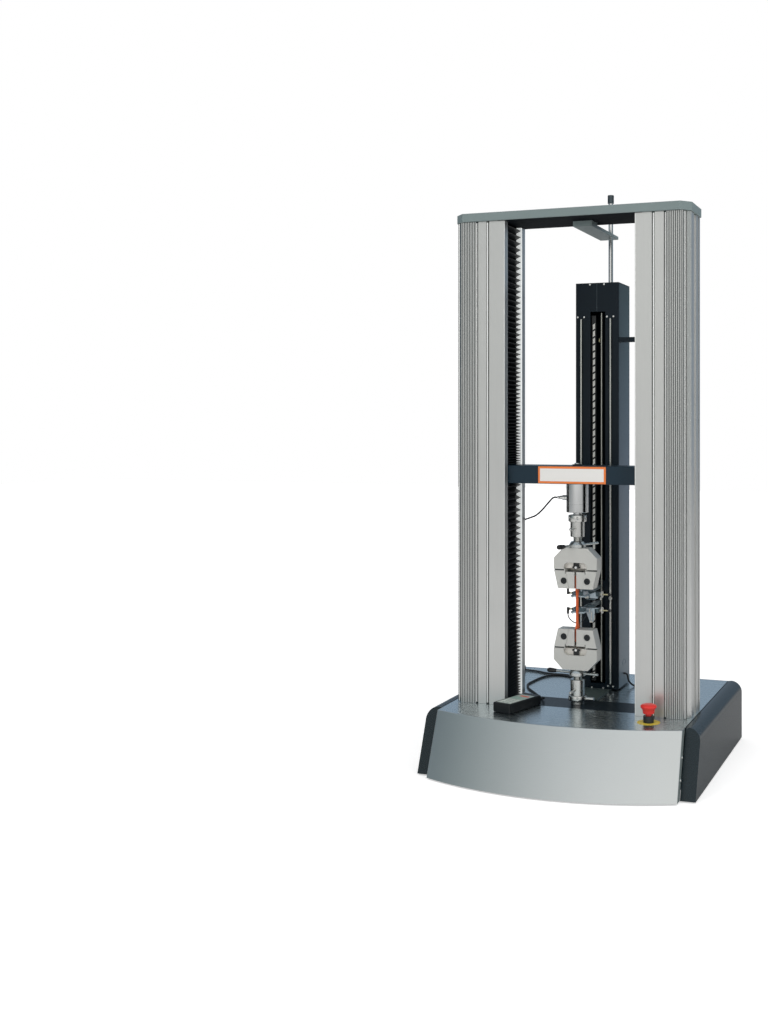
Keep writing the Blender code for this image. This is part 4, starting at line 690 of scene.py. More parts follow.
INLET = (rear_high[0] - 0.083, REAR_Y, 0.0835)
inlet = block("inlet_body", (-0.0133, 0.0133), (-0.030, -0.0004), (-0.0233, 0.0233), 0.001, INLET)
well = block("well", (-0.010, 0.010), (-0.020, 0.01), (-0.0185, 0.0035), 0.002, INLET)
button = block("button", (-0.009, 0.009), (-0.003, 0.01), (0.0065, 0.0205), 0.001, INLET)
carve(inlet, well, button)
fit(inlet, fan_black, "frame", "black_plastic")
rocker = block("inlet_switch", (-0.0085, 0.0085), (-0.003, -0.0002), (0.007, 0.020), 0.001, INLET)
fit(rocker, fan_black, "frame", "black_plastic")
pins = []
for x, z in ((0, -0.0035), (-0.005, -0.0105), (0.005, -0.0105)):
    ends = (x - 0.001, x + 0.001)
    pins.append(block("pin", ends, (-0.021, -0.006), (z - 0.0025, z + 0.0025), 0.0003, INLET))
fit(join("inlet_pins", *pins), screw_steel, "frame", "turned_steel")
spots = []
for x in (-0.345, -0.12, 0.12, 0.345):
    for z in (rear_low[2] + 0.012, rear_high[2] - 0.012):
        spots.append((x, REAR_Y - 0.0006, z))
for x in (-0.0446, 0.0446):
    for z in (-0.0446, 0.0446):
        spots.append((FAN[0] + x, REAR_Y - 0.0006, FAN[2] + z))
fit(screws("rear_screws", spots, (0, 1, 0), 0.0040, 0.0022), screw_steel, "frame", "turned_steel")


# Side covers: sheet covers with a rounded top edge, painted blue black and smooth.
# They hang on the tray's sides and follow the lean of the front panel.
# The paint's sheen follows which way it faces, strong where it faces up and weak on the upright sides: a
# painted highlight along the rounded top and painted shade on the sides.
cover_paint = finish(
    "cover_paint", (0.005, 0.014, 0.019), 0.26, grain=500, shade=0.15, relief=0.00001, sheen=0.4
)
tree = cover_paint.node_tree
# Painted highlight and shade: the sheen rises with how far the surface faces up.
facing = shader_node(tree, "NewGeometry")
upward = shader_node(tree, "SeparateXYZ")
painted_sheen_by_facing = shader_node(tree, "MapRange", {"From Min": 0.10, "From Max": 0.70, "To Min": 0.10, "To Max": 0.90})
link(
    tree,
    (facing.outputs["Normal"], upward.inputs[0]),
    (upward.outputs["Z"], painted_sheen_by_facing.inputs["Value"]),
    (painted_sheen_by_facing.outputs[0], tree.nodes["Principled BSDF"].inputs["Specular IOR Level"]),
)
COVER_IN = 0.3671
COVER_OUT = 0.410
COVER_ROUND = 0.034
COVER_TOP = DECK + 0.0015
COVER_REAR = 0.453


def cover_rows(side):
    """The cover's cross section at its leaning front end and at its flat rear end."""
    outline = [(COVER_IN, PANEL_LOW["height"]), (COVER_OUT, PANEL_LOW["height"])]
    for step in range(17):
        turn = math.radians(90) * step / 16
        x = COVER_OUT - COVER_ROUND * (1 - math.cos(turn))
        outline.append((x, COVER_TOP - COVER_ROUND * (1 - math.sin(turn))))
    outline.append((COVER_IN, COVER_TOP - 0.0015))
    first = [(side * x, panel_at(z)[0] + PANEL_RETURN + GAP + AXIS_Y, z) for x, z in outline]
    return [first, [(side * x, COVER_REAR + AXIS_Y, z) for x, z in outline]]


for label, side in SIDES:
    shell = skin("side_cover_shell_" + label, cover_rows(side))
    fit(shell, cover_paint, "frame", "cover_paint", "side_cover_" + label)


# Columns: hollow aluminium extrusions, satin anodised, with ribs on the outer part of the front and grooves
# beside them.
# Dark strips in the grooves, at their ends, between the ribs and near the outer edge are painted shade; pale
# strips beside the grooves and at the corner of the slot are painted highlights.
# Each stands on the deck plate and is bolted to the beam under it and to the cap.
ANODISED = (0.635, 0.64, 0.625)
UPRIGHT_GRAIN = (900, 900, 8)
anodised = finish(
    "satin_anodised", ANODISED, 0.34, 0.85, grain=UPRIGHT_GRAIN, shade=0.04, gloss=0.04, relief=0.00001
)
dress(anodised, "column_left", "column_right")
RIB_FROM = 0.2915
RIB_TO = 0.3400
RIB_COUNT = 9
RIB_TALL = 0.0011
COLUMN_IN = 0.1995
GROOVES = (0.0515, 0.0866)
EDGE_LINES = (0.3435, 0.3480)
# Pale strips of painted highlight: place across the column, width and how far each stands out.
HIGHLIGHT_STRIPS = (
    (0.2010, 0.0013, 0.0002),
    (0.2543, 0.0026, 0.0005),
    (0.2894, 0.0026, 0.0005),
    (0.3457, 0.0024, 0.0004),
)
column_low, column_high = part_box("column_right")
COLUMN_FRONT = column_low[1]
RIB_PITCH = (RIB_TO - RIB_FROM) / RIB_COUNT


def column_strip(side, low, high, back, front, shorter, edge=0.0):
    """An upright strip on a column's front, shorter than the column at both ends."""
    depth = (COLUMN_FRONT + back, COLUMN_FRONT + front)
    height = (column_low[2] + shorter, column_high[2] - shorter)
    return block("strip", (side * low, side * high), depth, height, edge)


def ribbed_face(name, side):
    """The outer part of a column's front: round ribs with narrow valleys between them."""
    face = COLUMN_FRONT - 0.0002
    outline = [(side * RIB_TO, face + 0.0001), (side * RIB_FROM, face + 0.0001)]
    for rib in range(RIB_COUNT):
        for step in range(1, 12):
            turn = math.pi * step / 12
            x = RIB_FROM + RIB_PITCH * (rib + 0.5 - 0.36 * math.cos(turn))
            outline.append((side * x, face - 0.0001 - RIB_TALL * math.sin(turn) ** 0.7))
    return slab(name, outline, "z", column_low[2] + 0.0002, column_high[2] - 0.0002)


def groove_shade_strips(name, side):
    """Dark strips of painted shade in the grooves, at their ends, between the ribs and near the edge."""
    strips = []
    for inset in GROOVES:
        x = COLUMN_IN + inset
        strips.append(column_strip(side, x - 0.0013, x + 0.0013, 0.0012, 0.0029, 0.0004))
        strips.append(column_strip(side, x + 0.0058, x + 0.0068, -0.0003, 0.0005, 0.0004))
        wide = (side * (x - 0.0020), side * (x + 0.0070))
        depth = (COLUMN_FRONT - 0.0004, COLUMN_FRONT + 0.0010)
        for low in (column_low[2] + 0.0002, column_high[2] - 0.0034):
            strips.append(block("joint", wide, depth, (low, low + 0.0032)))
    for rib in range(RIB_COUNT + 1):
        x = RIB_FROM + RIB_PITCH * rib
        ends = (x - RIB_PITCH * 0.17, x + RIB_PITCH * 0.17)
        strips.append(column_strip(side, *ends, -0.0012, -0.0001, 0.0004))
    for x in EDGE_LINES:
        strips.append(column_strip(side, x - 0.0007, x + 0.0007, -0.0003, 0.0005, 0.0004))
    return join(name, *strips)


def groove_highlight_strips(name, side):
    """Pale strips of painted highlight beside the grooves and at the corner of the slot."""
    strips = []
    for x, wide, proud in HIGHLIGHT_STRIPS:
        strips.append(column_strip(side, x - wide / 2, x + wide / 2, -proud, 0.0005, 0.0036, 0.0001))
    return join(name, *strips)


LINE_GRAIN = (300, 300, 20)
# Painted shade for the dark strips, painted highlight for the pale ones.
painted_groove_shade = finish("painted_groove_shade", (0.030, 0.038, 0.038), 0.6, grain=LINE_GRAIN, shade=0.15, sheen=0.2)
painted_groove_highlight = finish("painted_groove_highlight", (0.86, 0.87, 0.85), 0.3, 0.2, grain=LINE_GRAIN, shade=0.04, gloss=0.04)
for label, side in SIDES:
    fit(ribbed_face("column_ribs_" + label, side), anodised, "frame", "anodised")
    fit(groove_shade_strips("column_groove_shade_" + label, side), painted_groove_shade, "frame", "anodised")
    fit(groove_highlight_strips("column_groove_highlights_" + label, side), painted_groove_highlight, "frame", "anodised")


# Cap: a thick plate with cut corners that ties the columns together, painted grey green.
# Four socket screws hold it on each column, and a thin black layer under it between them is painted shade.
grey_paint = finish("grey_paint", (0.19, 0.24, 0.24), 0.42, 0.1, grain=700, shade=0.06, relief=0.00002)
dress(grey_paint, "top_cap")
# Painted shade: the black layer stands in for the shadow under the cap.
painted_underside_shade = finish("painted_underside_shade", (0.005, 0.007, 0.010), 0.7, grain=300, shade=0.2, sheen=0.05)
cap_low, cap_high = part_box("top_cap")
CAP_LOW = cap_low[2]
under_y = (cap_low[1] + 0.004, cap_high[1] - 0.004)
underside = block("cap_underside", (-0.2215, 0.2215), under_y, (CAP_LOW - 0.0006, CAP_LOW + 0.0004), 0.0002)
fit(underside, painted_underside_shade, "frame", "grey_paint")
spots = []
for side in (-1, 1):
    for x in (0.228, 0.318):
        for share in (0.26, 0.74):
            spots.append((side * x, cap_low[1] + (cap_high[1] - cap_low[1]) * share, cap_high[2] - 0.0003))
fit(screws("cap_screws", spots, (0, 0, 1), 0.0075, 0.0046, 0.45), screw_steel, "frame", "turned_steel")


# Drive inside the base and the columns: motor, toothed belt, pulleys, ball screws and guide rods.
# None of it shows from outside, apart from a rod end or two in the column slots.
ground_steel = finish("ground_steel", (0.60, 0.61, 0.60), 0.18, 1.0, grain=(900, 900, 60), shade=0.05)
dress(ground_steel, "ball_screw_left", "ball_screw_right", "guide_rod_left", "guide_rod_right")
dress(ground_steel, "motor_pulley", "nut_block_left", "nut_block_right")
motor_black = finish("motor_black", (0.02, 0.02, 0.022), 0.5, grain=300, shade=0.2, relief=0.00005)
dress(motor_black, "drive_motor")
dress(rubber, "drive_belt")


# Bellows: black coated cloth folded in pleats, which closes the slot in each column.
# The folds are tight at the lower end and wider at the top, where they hang open. Behind them a white strip
# on the slot's rear lip is a painted highlight, and it has a faint glow because little studio light gets
# into the slot.
CROSS_LOW, CROSS_TOP = (corner[2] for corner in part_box("crosshead"))
bellows_cloth = finish(
    "bellows_cloth", (0.005, 0.007, 0.009), 0.42, grain=700, shade=0.3, relief=0.00003, sheen=0.35
)


def pleats(name, side, low, high, tight=0.0070, wide=0.0200):
    """A strip folded in pleats that widen upwards, with a small round at every fold."""
    length = high - low
    count = round(length / ((tight + wide) / 2))
    steps = [tight + (wide - tight) * k / (count - 1) for k in range(count)]
    scale = length / sum(steps)
    heights = [low]
    for step in steps:
        heights += [heights[-1] + step * scale / 2, heights[-1] + step * scale]
    ridge = COLUMN_IN + 0.0012
    valley = ridge + 0.019
    line = []
    for index, height in enumerate(heights):
        if index % 2 == 0:
            line.append((valley, height))
        else:
            line += [(ridge + 0.0009, height - 0.0007), (ridge, height), (ridge + 0.0009, height + 0.0007)]
    outline = [(side * x, z) for x, z in line] + [(side * (x + 0.0022), z) for x, z in line[::-1]]
    return slab(name, outline, "y", AXIS_Y - 0.055, AXIS_Y + 0.054)


# Painted highlight: a white strip that glows faintly, for the light on the slot's rear lip.
slot_highlight_white = finish("slot_highlight_white", (0.84, 0.86, 0.85), 0.5, grain=(400, 400, 40), shade=0.03, sheen=0.3)
slot_highlight_shader = slot_highlight_white.node_tree.nodes["Principled BSDF"]
slot_highlight_shader.inputs["Emission Color"].default_value = (0.84, 0.87, 0.86, 1)
slot_highlight_shader.inputs["Emission Strength"].default_value = 0.5
for label, side in SIDES:
    strips = []
    for near, far, rear in ((0.0004, 0.0160, 0.0545), (-0.0002, 0.0004, 0.0610)):
        ends = (side * (COLUMN_IN + near), side * (COLUMN_IN + far))
        depth = (AXIS_Y + 0.0541, AXIS_Y + rear)
        strips.append(block("strip", ends, depth, (DECK + 0.001, CAP_LOW - 0.001), 0.0001))
    fit(join("slot_highlight_" + label, *strips), slot_highlight_white, "frame", "anodised")
for label, side in SIDES:
    upper = pleats("upper_bellows_" + label, side, CROSS_TOP + GAP, CAP_LOW - GAP)
    fit(upper, bellows_cloth, "frame", "black_rubber", "bellows_upper_" + label)
    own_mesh(upper)
    lower = pleats("lower_bellows_" + label, side, DECK + GAP, CROSS_LOW - GAP)
    lower.data.materials.append(bellows_cloth)
    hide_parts("bellows_lower_" + label)
    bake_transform(lower)


# Crosshead: a thick steel beam painted navy that runs between the columns on its nuts.
# An enamelled plate with a coloured rim is fixed on its front, and stays bare.
crosshead_paint = finish(
    "crosshead_paint", (0.007, 0.022, 0.036), 0.34, grain=700, shade=0.1, relief=0.00002, sheen=0.3
)
dress(crosshead_paint, "crosshead")
plate_low, plate_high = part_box("name_plate")
rim_orange = finish("rim_orange", (0.80, 0.20, 0.035), 0.35, grain=600, shade=0.05, coat=0.3)
plate_white = finish("plate_white", (0.80, 0.79, 0.76), 0.35, grain=600, shade=0.03, coat=0.3)
RIM = 0.0062
across, _, upright = zip(plate_low, plate_high)
rim = block("plate_rim", across, (plate_low[1] + 0.0008, plate_high[1]), upright, 0.0006)
fit(rim, rim_orange, "moving_head", "pale_plate", "name_plate")
inside = [(low + RIM, high - RIM) for low, high in (across, upright)]
field = block("plate_field", inside[0], (plate_low[1], plate_low[1] + 0.0012), inside[1], 0.0003)
fit(field, plate_white, "moving_head", "pale_plate")


# Load cell: a polished steel drum hung under the crosshead by a bolt through it.
# It is closed by a screwed lid, whose joint is a fine line, and has a round plug at the left.
polished = finish(
    "polished_steel", (0.72, 0.73, 0.73), 0.16, 1.0, grain=(500, 500, 60), shade=0.03, gloss=0.03
)
CELL_R = 0.0335
cell_low = DECK + 0.5707
cell_seam = DECK + 0.5952
outline = [
    (0, cell_low - 0.0055), (0.0125, cell_low - 0.0055), (0.0125, cell_low), (0.0325, cell_low),
    (CELL_R, cell_low + 0.001), (CELL_R, cell_seam - 0.0006), (CELL_R - 0.0008, cell_seam - 0.0003),
    (CELL_R - 0.0008, cell_seam + 0.0003), (CELL_R, cell_seam + 0.0006), (CELL_R, CROSS_LOW - 0.0013),
    (0.0325, CROSS_LOW - GAP), (0, CROSS_LOW - GAP),
]
cell = turned("load_cell_drum", outline, (0, AXIS_Y, 0), steps=128)
fit(cell, polished, "moving_head", "polished_steel", "load_cell")
outline = [
    (0, CROSS_TOP + GAP), (0.0150, CROSS_TOP + GAP), (0.0155, CROSS_TOP + 0.0008),
    (0.0155, CROSS_TOP + 0.0030), (0.0150, CROSS_TOP + 0.0035), (0, CROSS_TOP + 0.0035),
]
washer = turned("load_cell_washer", outline, (0, AXIS_Y, 0))
fit(washer, motor_black, "moving_head", "turned_steel")
outline = [
    (0, CROSS_TOP + 0.0036), (0.0086, CROSS_TOP + 0.0036), (0.0090, CROSS_TOP + 0.0044),
    (0.0088, CROSS_TOP + 0.0066), (0.0070, CROSS_TOP + 0.0077), (0, CROSS_TOP + 0.0079),
]
fit(turned("load_cell_bolt", outline, (0, AXIS_Y, 0)), polished, "moving_head", "polished_steel")
plug_z = DECK + 0.6135
outline = [
    (0, 0.004), (0.0080, 0.004), (0.0080, -0.0030), (0.0068, -0.0034), (0.0068, -0.0044),
    (0.0074, -0.0048), (0.0074, -0.0125), (0.0066, -0.0130), (0.0058, -0.0134), (0.0058, -0.0205),
    (0.0042, -0.0228), (0.0040, -0.0290), (0, -0.0290),
]
plug = turned("load_cell_plug", outline, (-CELL_R, AXIS_Y, plug_z), "x", 48)
fit(plug, screw_steel, "moving_head", "turned_steel")


# Adapters: turned steel sleeves that take a cross pin, one under the load cell and one on the deck.
# The upper one shows its threads above the lock ring; the lower one stands in a flanged foot.
def thread(radius, low, high, pitch=0.0015):
    """Outline points of a fine thread, from its low end to its high end."""
    count = max(1, int((high - low) / pitch))
    points = []
    for index in range(count):
        at = low + index * pitch
        points += [(radius - 0.0008, at), (radius, at + pitch * 0.45)]
    return points


sleeve_steel = finish(
    "sleeve_steel", (0.66, 0.66, 0.64), 0.24, 1.0, grain=(60, 60, 900), shade=0.05, gloss=0.05
)
NECK_R = 0.0125
SLEEVE_R = 0.0215
RING_R = 0.0275
PIN_R = 0.0040
UPPER_RING_LOW = DECK + 0.5428
UPPER_RING_T = 0.0204
UPPER_RING_TOP = UPPER_RING_LOW + UPPER_RING_T
UPPER_SLEEVE_LOW = DECK + 0.4977
UPPER_PIN_Z = DECK + 0.5242
LOWER_RING_LOW = DECK + 0.0121
LOWER_RING_T = 0.0164
LOWER_SLEEVE_TOP = DECK + 0.0752
LOWER_PIN_Z = DECK + 0.0463
UPPER_GRIP_TOP = DECK + 0.4655
LOWER_GRIP_END = DECK + 0.5705 - 0.4655
outline = [
    (0, UPPER_GRIP_TOP - 0.0040), (NECK_R, UPPER_GRIP_TOP - 0.0040),
    *thread(NECK_R, UPPER_GRIP_TOP + 0.0190, UPPER_SLEEVE_LOW - 0.0006),
    (NECK_R - 0.0008, UPPER_SLEEVE_LOW), (SLEEVE_R - 0.0014, UPPER_SLEEVE_LOW),
    (SLEEVE_R, UPPER_SLEEVE_LOW + 0.0014), (SLEEVE_R, UPPER_RING_TOP - 0.0040),
    (NECK_R + 0.0020, UPPER_RING_TOP - 0.0040), (NECK_R + 0.0020, UPPER_RING_TOP + 0.0012),
    (0, UPPER_RING_TOP + 0.0012),
]
sleeve = turned("upper_sleeve", outline, (0, AXIS_Y, 0), steps=128)
fit(sleeve, sleeve_steel, "moving_head", "turned_steel", "upper_adapter")
outline = [
    (0, DECK + GAP), (0.0198, DECK + GAP), (0.0205, DECK + 0.0010), (0.0205, DECK + 0.0088),
    (0.0198, DECK + 0.0095), (0.0150, DECK + 0.0100), (0.0150, DECK + 0.0118),
    (SLEEVE_R, LOWER_RING_LOW + 0.0040), (SLEEVE_R, LOWER_SLEEVE_TOP - 0.0014),
    (SLEEVE_R - 0.0014, LOWER_SLEEVE_TOP), (NECK_R - 0.0008, LOWER_SLEEVE_TOP),
    *thread(NECK_R, LOWER_SLEEVE_TOP + 0.0004, LOWER_GRIP_END - 0.0190),
    (NECK_R, LOWER_GRIP_END - 0.0185), (NECK_R, LOWER_GRIP_END + 0.0040), (0, LOWER_GRIP_END + 0.0040),
]
sleeve = turned("lower_sleeve", outline, (0, AXIS_Y, 0), steps=128)
fit(sleeve, sleeve_steel, "frame", "turned_steel", "lower_adapter")


# Lock rings: thick nuts with bevelled edges and holes for a hook spanner, screwed on the sleeves.
# The lower one is turned by a short round handle at the right.
def ring_nut(name, low, thick, stub):
    """A lock ring with six spanner holes, and with a round handle where stub is true."""
    edge = 0.0022
    inner = SLEEVE_R + GAP
    outline = [
        (inner, low), (RING_R - edge, low), (RING_R - edge * 0.3, low + edge * 0.35),
        (RING_R, low + edge), (RING_R, low + thick - edge),
        (RING_R - edge * 0.3, low + thick - edge * 0.35), (RING_R - edge, low + thick),
        (inner, low + thick),
    ]
    ring = turned(name + "_body", outline, (0, AXIS_Y, 0), steps=96)
    for step in range(6):
        turn = math.radians(-72 + 60 * step)
        aim = Vector((math.cos(turn), math.sin(turn), 0))
        spot = Vector((0, AXIS_Y, low + thick * 0.58))
        carve(ring, bar("hole", spot + aim * (RING_R - 0.004), spot + aim * (RING_R + 0.01), 0.0025, 20))
    if stub:
        handle_z = low + 0.0060
        ends = ((RING_R - 0.003, AXIS_Y, handle_z), (0.051, AXIS_Y, handle_z))
        handle = bar("stub", *ends, 0.0056, 40, 0.0009)
        ring = join(name + "_body", ring, handle)
    ring.name = name
    ring.data.name = name
    return ring


upper_nut = ring_nut("upper_ring_nut", UPPER_RING_LOW, UPPER_RING_T, False)
fit(upper_nut, sleeve_steel, "upper_ring", "turned_steel", "upper_lock_ring")
lower_nut = ring_nut("lower_ring_nut", LOWER_RING_LOW, LOWER_RING_T, True)
fit(lower_nut, sleeve_steel, "lower_ring", "turned_steel", "lower_lock_ring")


# Cross pins: hardened steel pins through the sleeves from front to rear, pulled out by their front end.
# The front end is rounded, with a small groove behind it for a retaining ring.
for label, height, body in (("upper", UPPER_PIN_Z, "upper_pin"), ("lower", LOWER_PIN_Z, "lower_pin")):
    front = AXIS_Y - SLEEVE_R - 0.046
    rear = AXIS_Y + SLEEVE_R + 0.003
    outline = [
        (0, 0), (0.0030, 0.0005), (PIN_R + 0.0008, 0.0025), (PIN_R + 0.0012, 0.0045), (PIN_R, 0.0068),
        (PIN_R - 0.0008, 0.0075), (PIN_R - 0.0008, 0.0088), (PIN_R, 0.0095),
        (PIN_R, rear - front - 0.0006), (PIN_R - 0.0006, rear - front), (0, rear - front),
    ]
    pin = turned(label + "_pin", outline, (0, front, height), "y", 32)
    fit(pin, sleeve_steel, body, "turned_steel", label + "_cross_pin")


# Grips: forged and nickel plated heads, with a window for the wedge jaws and a slit at each side.
# Two socket screws clamp the front plate; the lower grip is the upper one turned over.
nickel = finish(
    "dull_nickel", (0.60, 0.60, 0.57), 0.42, 0.55, grain=900, shade=0.05, relief=0.00002
)
slit_dark = finish("slit_dark", (0.035, 0.045, 0.045), 0.6, grain=500, shade=0.2)
MID = DECK + 0.28525
MOUTH = DECK + 0.3455
SPLIT = DECK + 0.4025
SHOULDER = DECK + 0.4365
GRIP_FRONT = AXIS_Y - 0.022
GRIP_REAR = AXIS_Y + 0.0234
JAW_MOUTH = 0.0205
JAW_TOP = 0.029
WINDOW = 0.036
WINDOW_H = 0.020
BOLT_X = 0.0362
BOLT_Z = MOUTH + 0.0225
BOLT_DEEP = 0.0046


def turn_over(obj):
    """Turns a piece of the upper grip over, so that it fits the lower one."""
    turn = Matrix.Translation((0, 0, 2 * MID)) @ Matrix.Scale(-1, 4, (0, 0, 1))
    obj.data.transform(turn)
    obj.data.flip_normals()
    return obj


def grip_head(name):
    """The upper grip's body with its pocket, its slits and the recesses of its screws."""
    outline = [
        (-0.0385, UPPER_GRIP_TOP), (0.0385, UPPER_GRIP_TOP), (0.067, SHOULDER), (0.067, SPLIT),
        (0.054, MOUTH), (-0.054, MOUTH), (-0.067, SPLIT), (-0.067, SHOULDER),
    ]
    head = slab(name, outline, "y", GRIP_FRONT, GRIP_REAR)
    pocket = [(-JAW_MOUTH - GAP, MOUTH - 0.01), (JAW_MOUTH + GAP, MOUTH - 0.01), (JAW_MOUTH + GAP, MOUTH)]
    pocket += [(JAW_TOP + GAP, SPLIT - 0.007), (JAW_TOP + 0.003, SPLIT - 0.007)]
    pocket += [(JAW_TOP + 0.003, SPLIT + 0.001)]
    pocket += [(WINDOW, SPLIT + 0.001), (WINDOW, SPLIT + WINDOW_H * 0.30)]
    round_r = WINDOW_H * 0.70
    for step in range(1, 9):
        turn = math.radians(90) * step / 8
        z = SPLIT + WINDOW_H * 0.30 + round_r * math.sin(turn)
        pocket.append((WINDOW - round_r * (1 - math.cos(turn)), z))
    pocket += [(-x, z) for x, z in pocket[::-1]]
    carve(head, slab("pocket", pocket, "y", GRIP_FRONT - 0.01, GRIP_REAR + 0.01))
    for side in (-1, 1):
        depth = (GRIP_FRONT - 0.01, GRIP_FRONT + 0.0065)
        carve(head, block("slit", (side * WINDOW * 0.95, side * 0.09), depth, (SPLIT - 0.0042, SPLIT)))
        bolt = (side * BOLT_X, GRIP_FRONT, BOLT_Z)
        carve(head, bar("rim", (0, -0.01, 0), (0, 0.0008, 0), 0.0128, 48, at=bolt))
        carve(head, bar("bore", (0, -0.01, 0), (0, BOLT_DEEP, 0), 0.0098, 40, at=bolt))
    top = (0, AXIS_Y, UPPER_GRIP_TOP)
    carve(head, bar("stem_bore", (0, 0, -0.0045), (0, 0, 0.01), NECK_R + GAP, 64, at=top))
    return round_edges(head, 0.0007, 2, 30)


def grip_screws(name):
    """Black socket head screws sunk in the front plate."""
    heads = []
    for side in (-1, 1):
        outline = [
            (0, 0.0010), (0.0042, 0.0010), (0.0042, 0.0032), (0.0088, 0.0036), (0.0095, 0.0029),
            (0.0095, 0), (0, 0),
        ]
        spot = (side * BOLT_X, GRIP_FRONT + BOLT_DEEP, BOLT_Z)
        heads.append(turned("head", [(r, -h) for r, h in outline], spot, "y", 40))
    return join(name, *heads)


# Painted highlight: the pale back of each window stands in for light falling into the recess.
painted_lit_recess = finish("painted_lit_recess", (0.80, 0.77, 0.71), 0.35, 0.2, grain=900, shade=0.05)
screw_black = finish("screw_black", (0.012, 0.015, 0.017), 0.35, 0.3, grain=600, shade=0.2)
for label, body in (("upper", "moving_head"), ("lower", "frame")):
    head = grip_head(label + "_grip_head")
    bolts = grip_screws(label + "_grip_screws")
    face = (0, GRIP_FRONT, SPLIT)
    # Painted shade: dark strips in the side slits and in the gaps beside the jaws' tops.
    shade = []
    for side in (-1, 1):
        ends = (side * (WINDOW + 0.0002), side * 0.0665)
        shade.append(block("shade", ends, (0.0050, 0.0064), (-0.0041, -0.0001), at=face))
        ends = (side * (JAW_TOP + 0.0009), side * (JAW_TOP + 0.0027))
        shade.append(block("notch", ends, (-0.0001, 0.0010), (-0.0135, -0.0068), at=face))
    lines = join(label + "_split_shade", *shade)
    rear = GRIP_REAR - GRIP_FRONT
    wall = block("wall", (-0.0355, 0.0355), (0.0150, rear - 0.001), (0.0018, 0.0198), at=face)
    sheet = block("sheet", (-0.0335, 0.0335), (rear - 0.0008, rear - 0.0001), (-0.0200, 0.0030), at=face)
    back = join(label + "_window_back", wall, sheet)
    if label == "lower":
        for piece in (head, bolts, lines, back):
            turn_over(piece)
    fit(head, nickel, body, "nickel_plate", label + "_grip")
    fit(bolts, screw_black, body, "turned_steel")
    fit(lines, slit_dark, body, "nickel_plate")
    fit(back, painted_lit_recess, body, "nickel_plate")


# Jaws: hardened wedges with fine teeth on their gripping faces, held by a small screw each.
# They slide in the taper of the grip and close on the specimen.
keeper_black = finish("keeper_black", (0.012, 0.014, 0.015), 0.4, 0.2, grain=500, shade=0.25)
WEDGE_TOP = SPLIT - 0.0075
TEETH = 40


def wedge_jaw(name, side):
    """A wedge with fine teeth towards the specimen."""
    inner = 0.0028
    teeth = []
    half_step = (WEDGE_TOP - MOUTH) / TEETH / 2
    for step in range(TEETH):
        at = WEDGE_TOP - (WEDGE_TOP - MOUTH) * step / TEETH
        teeth += [(side * inner, at), (side * (inner + 0.0005), at - half_step)]
    outline = [(side * inner, MOUTH), (side * JAW_MOUTH, MOUTH), (side * JAW_TOP, WEDGE_TOP)] + teeth
    return round_edges(slab(name, outline, "y", GRIP_FRONT + 0.0012, GRIP_REAR - 0.001), 0.0006, 2, 60)


def jaw_screw(name, side):
    """The dark screw and leaf spring on top of a wedge."""
    top = (0, GRIP_FRONT, WEDGE_TOP)
    x = side * 0.0215
    head = bar("head", (x, 0.0052, 0), (x, 0.0052, 0.0034), 0.0036, 28, at=top)
    leaf = block("leaf", (side * 0.0080, side * 0.0200), (0.0030, 0.0080), (0.0010, 0.0024), 0.0003, top)
    return join(name, head, leaf)


for grip, body in (("upper", "upper_wedge_"), ("lower", "lower_wedge_")):
    for label, side in SIDES:
        jaw = wedge_jaw(grip + "_wedge_jaw_" + label, side)
        screw = jaw_screw(grip + "_jaw_screw_" + label, side)
        if grip == "lower":
            turn_over(jaw)
            turn_over(screw)
        fit(jaw, nickel, body + label, "nickel_plate", grip + "_jaw_" + label)
        fit(screw, keeper_black, body + label, "black_plastic")


# Keepers: blackened steel tees in the windows that hold the wedges level.
# Each is held by a bright pin with a round head.
for label, body in (("upper", "moving_head"), ("lower", "frame")):
    face = (0, GRIP_FRONT, SPLIT)
    stem = block("stem", (-0.0082, 0.0082), (0.0085, 0.0148), (0.0078, WINDOW_H - GAP), 0.0008, face)
    foot = block("foot", (-0.0120, 0.0120), (0.0080, 0.0148), (0.0030, 0.0080), 0.0008, face)
    tee = join(label + "_tee", stem, foot)
    outline = [(0, 0), (0.0030, 0.0002), (0.0043, 0.0012), (0.0046, 0.0030), (0.0046, 0.0060), (0, 0.0060)]
    pin = turned(label + "_tee_pin", outline, (0, GRIP_FRONT + 0.0030, SPLIT + 0.0052), "y", 32)
    if label == "lower":
        turn_over(tee)
        turn_over(pin)
    fit(tee, keeper_black, body, "black_plastic", label + "_keeper")
    fit(pin, screw_steel, body, "turned_steel")


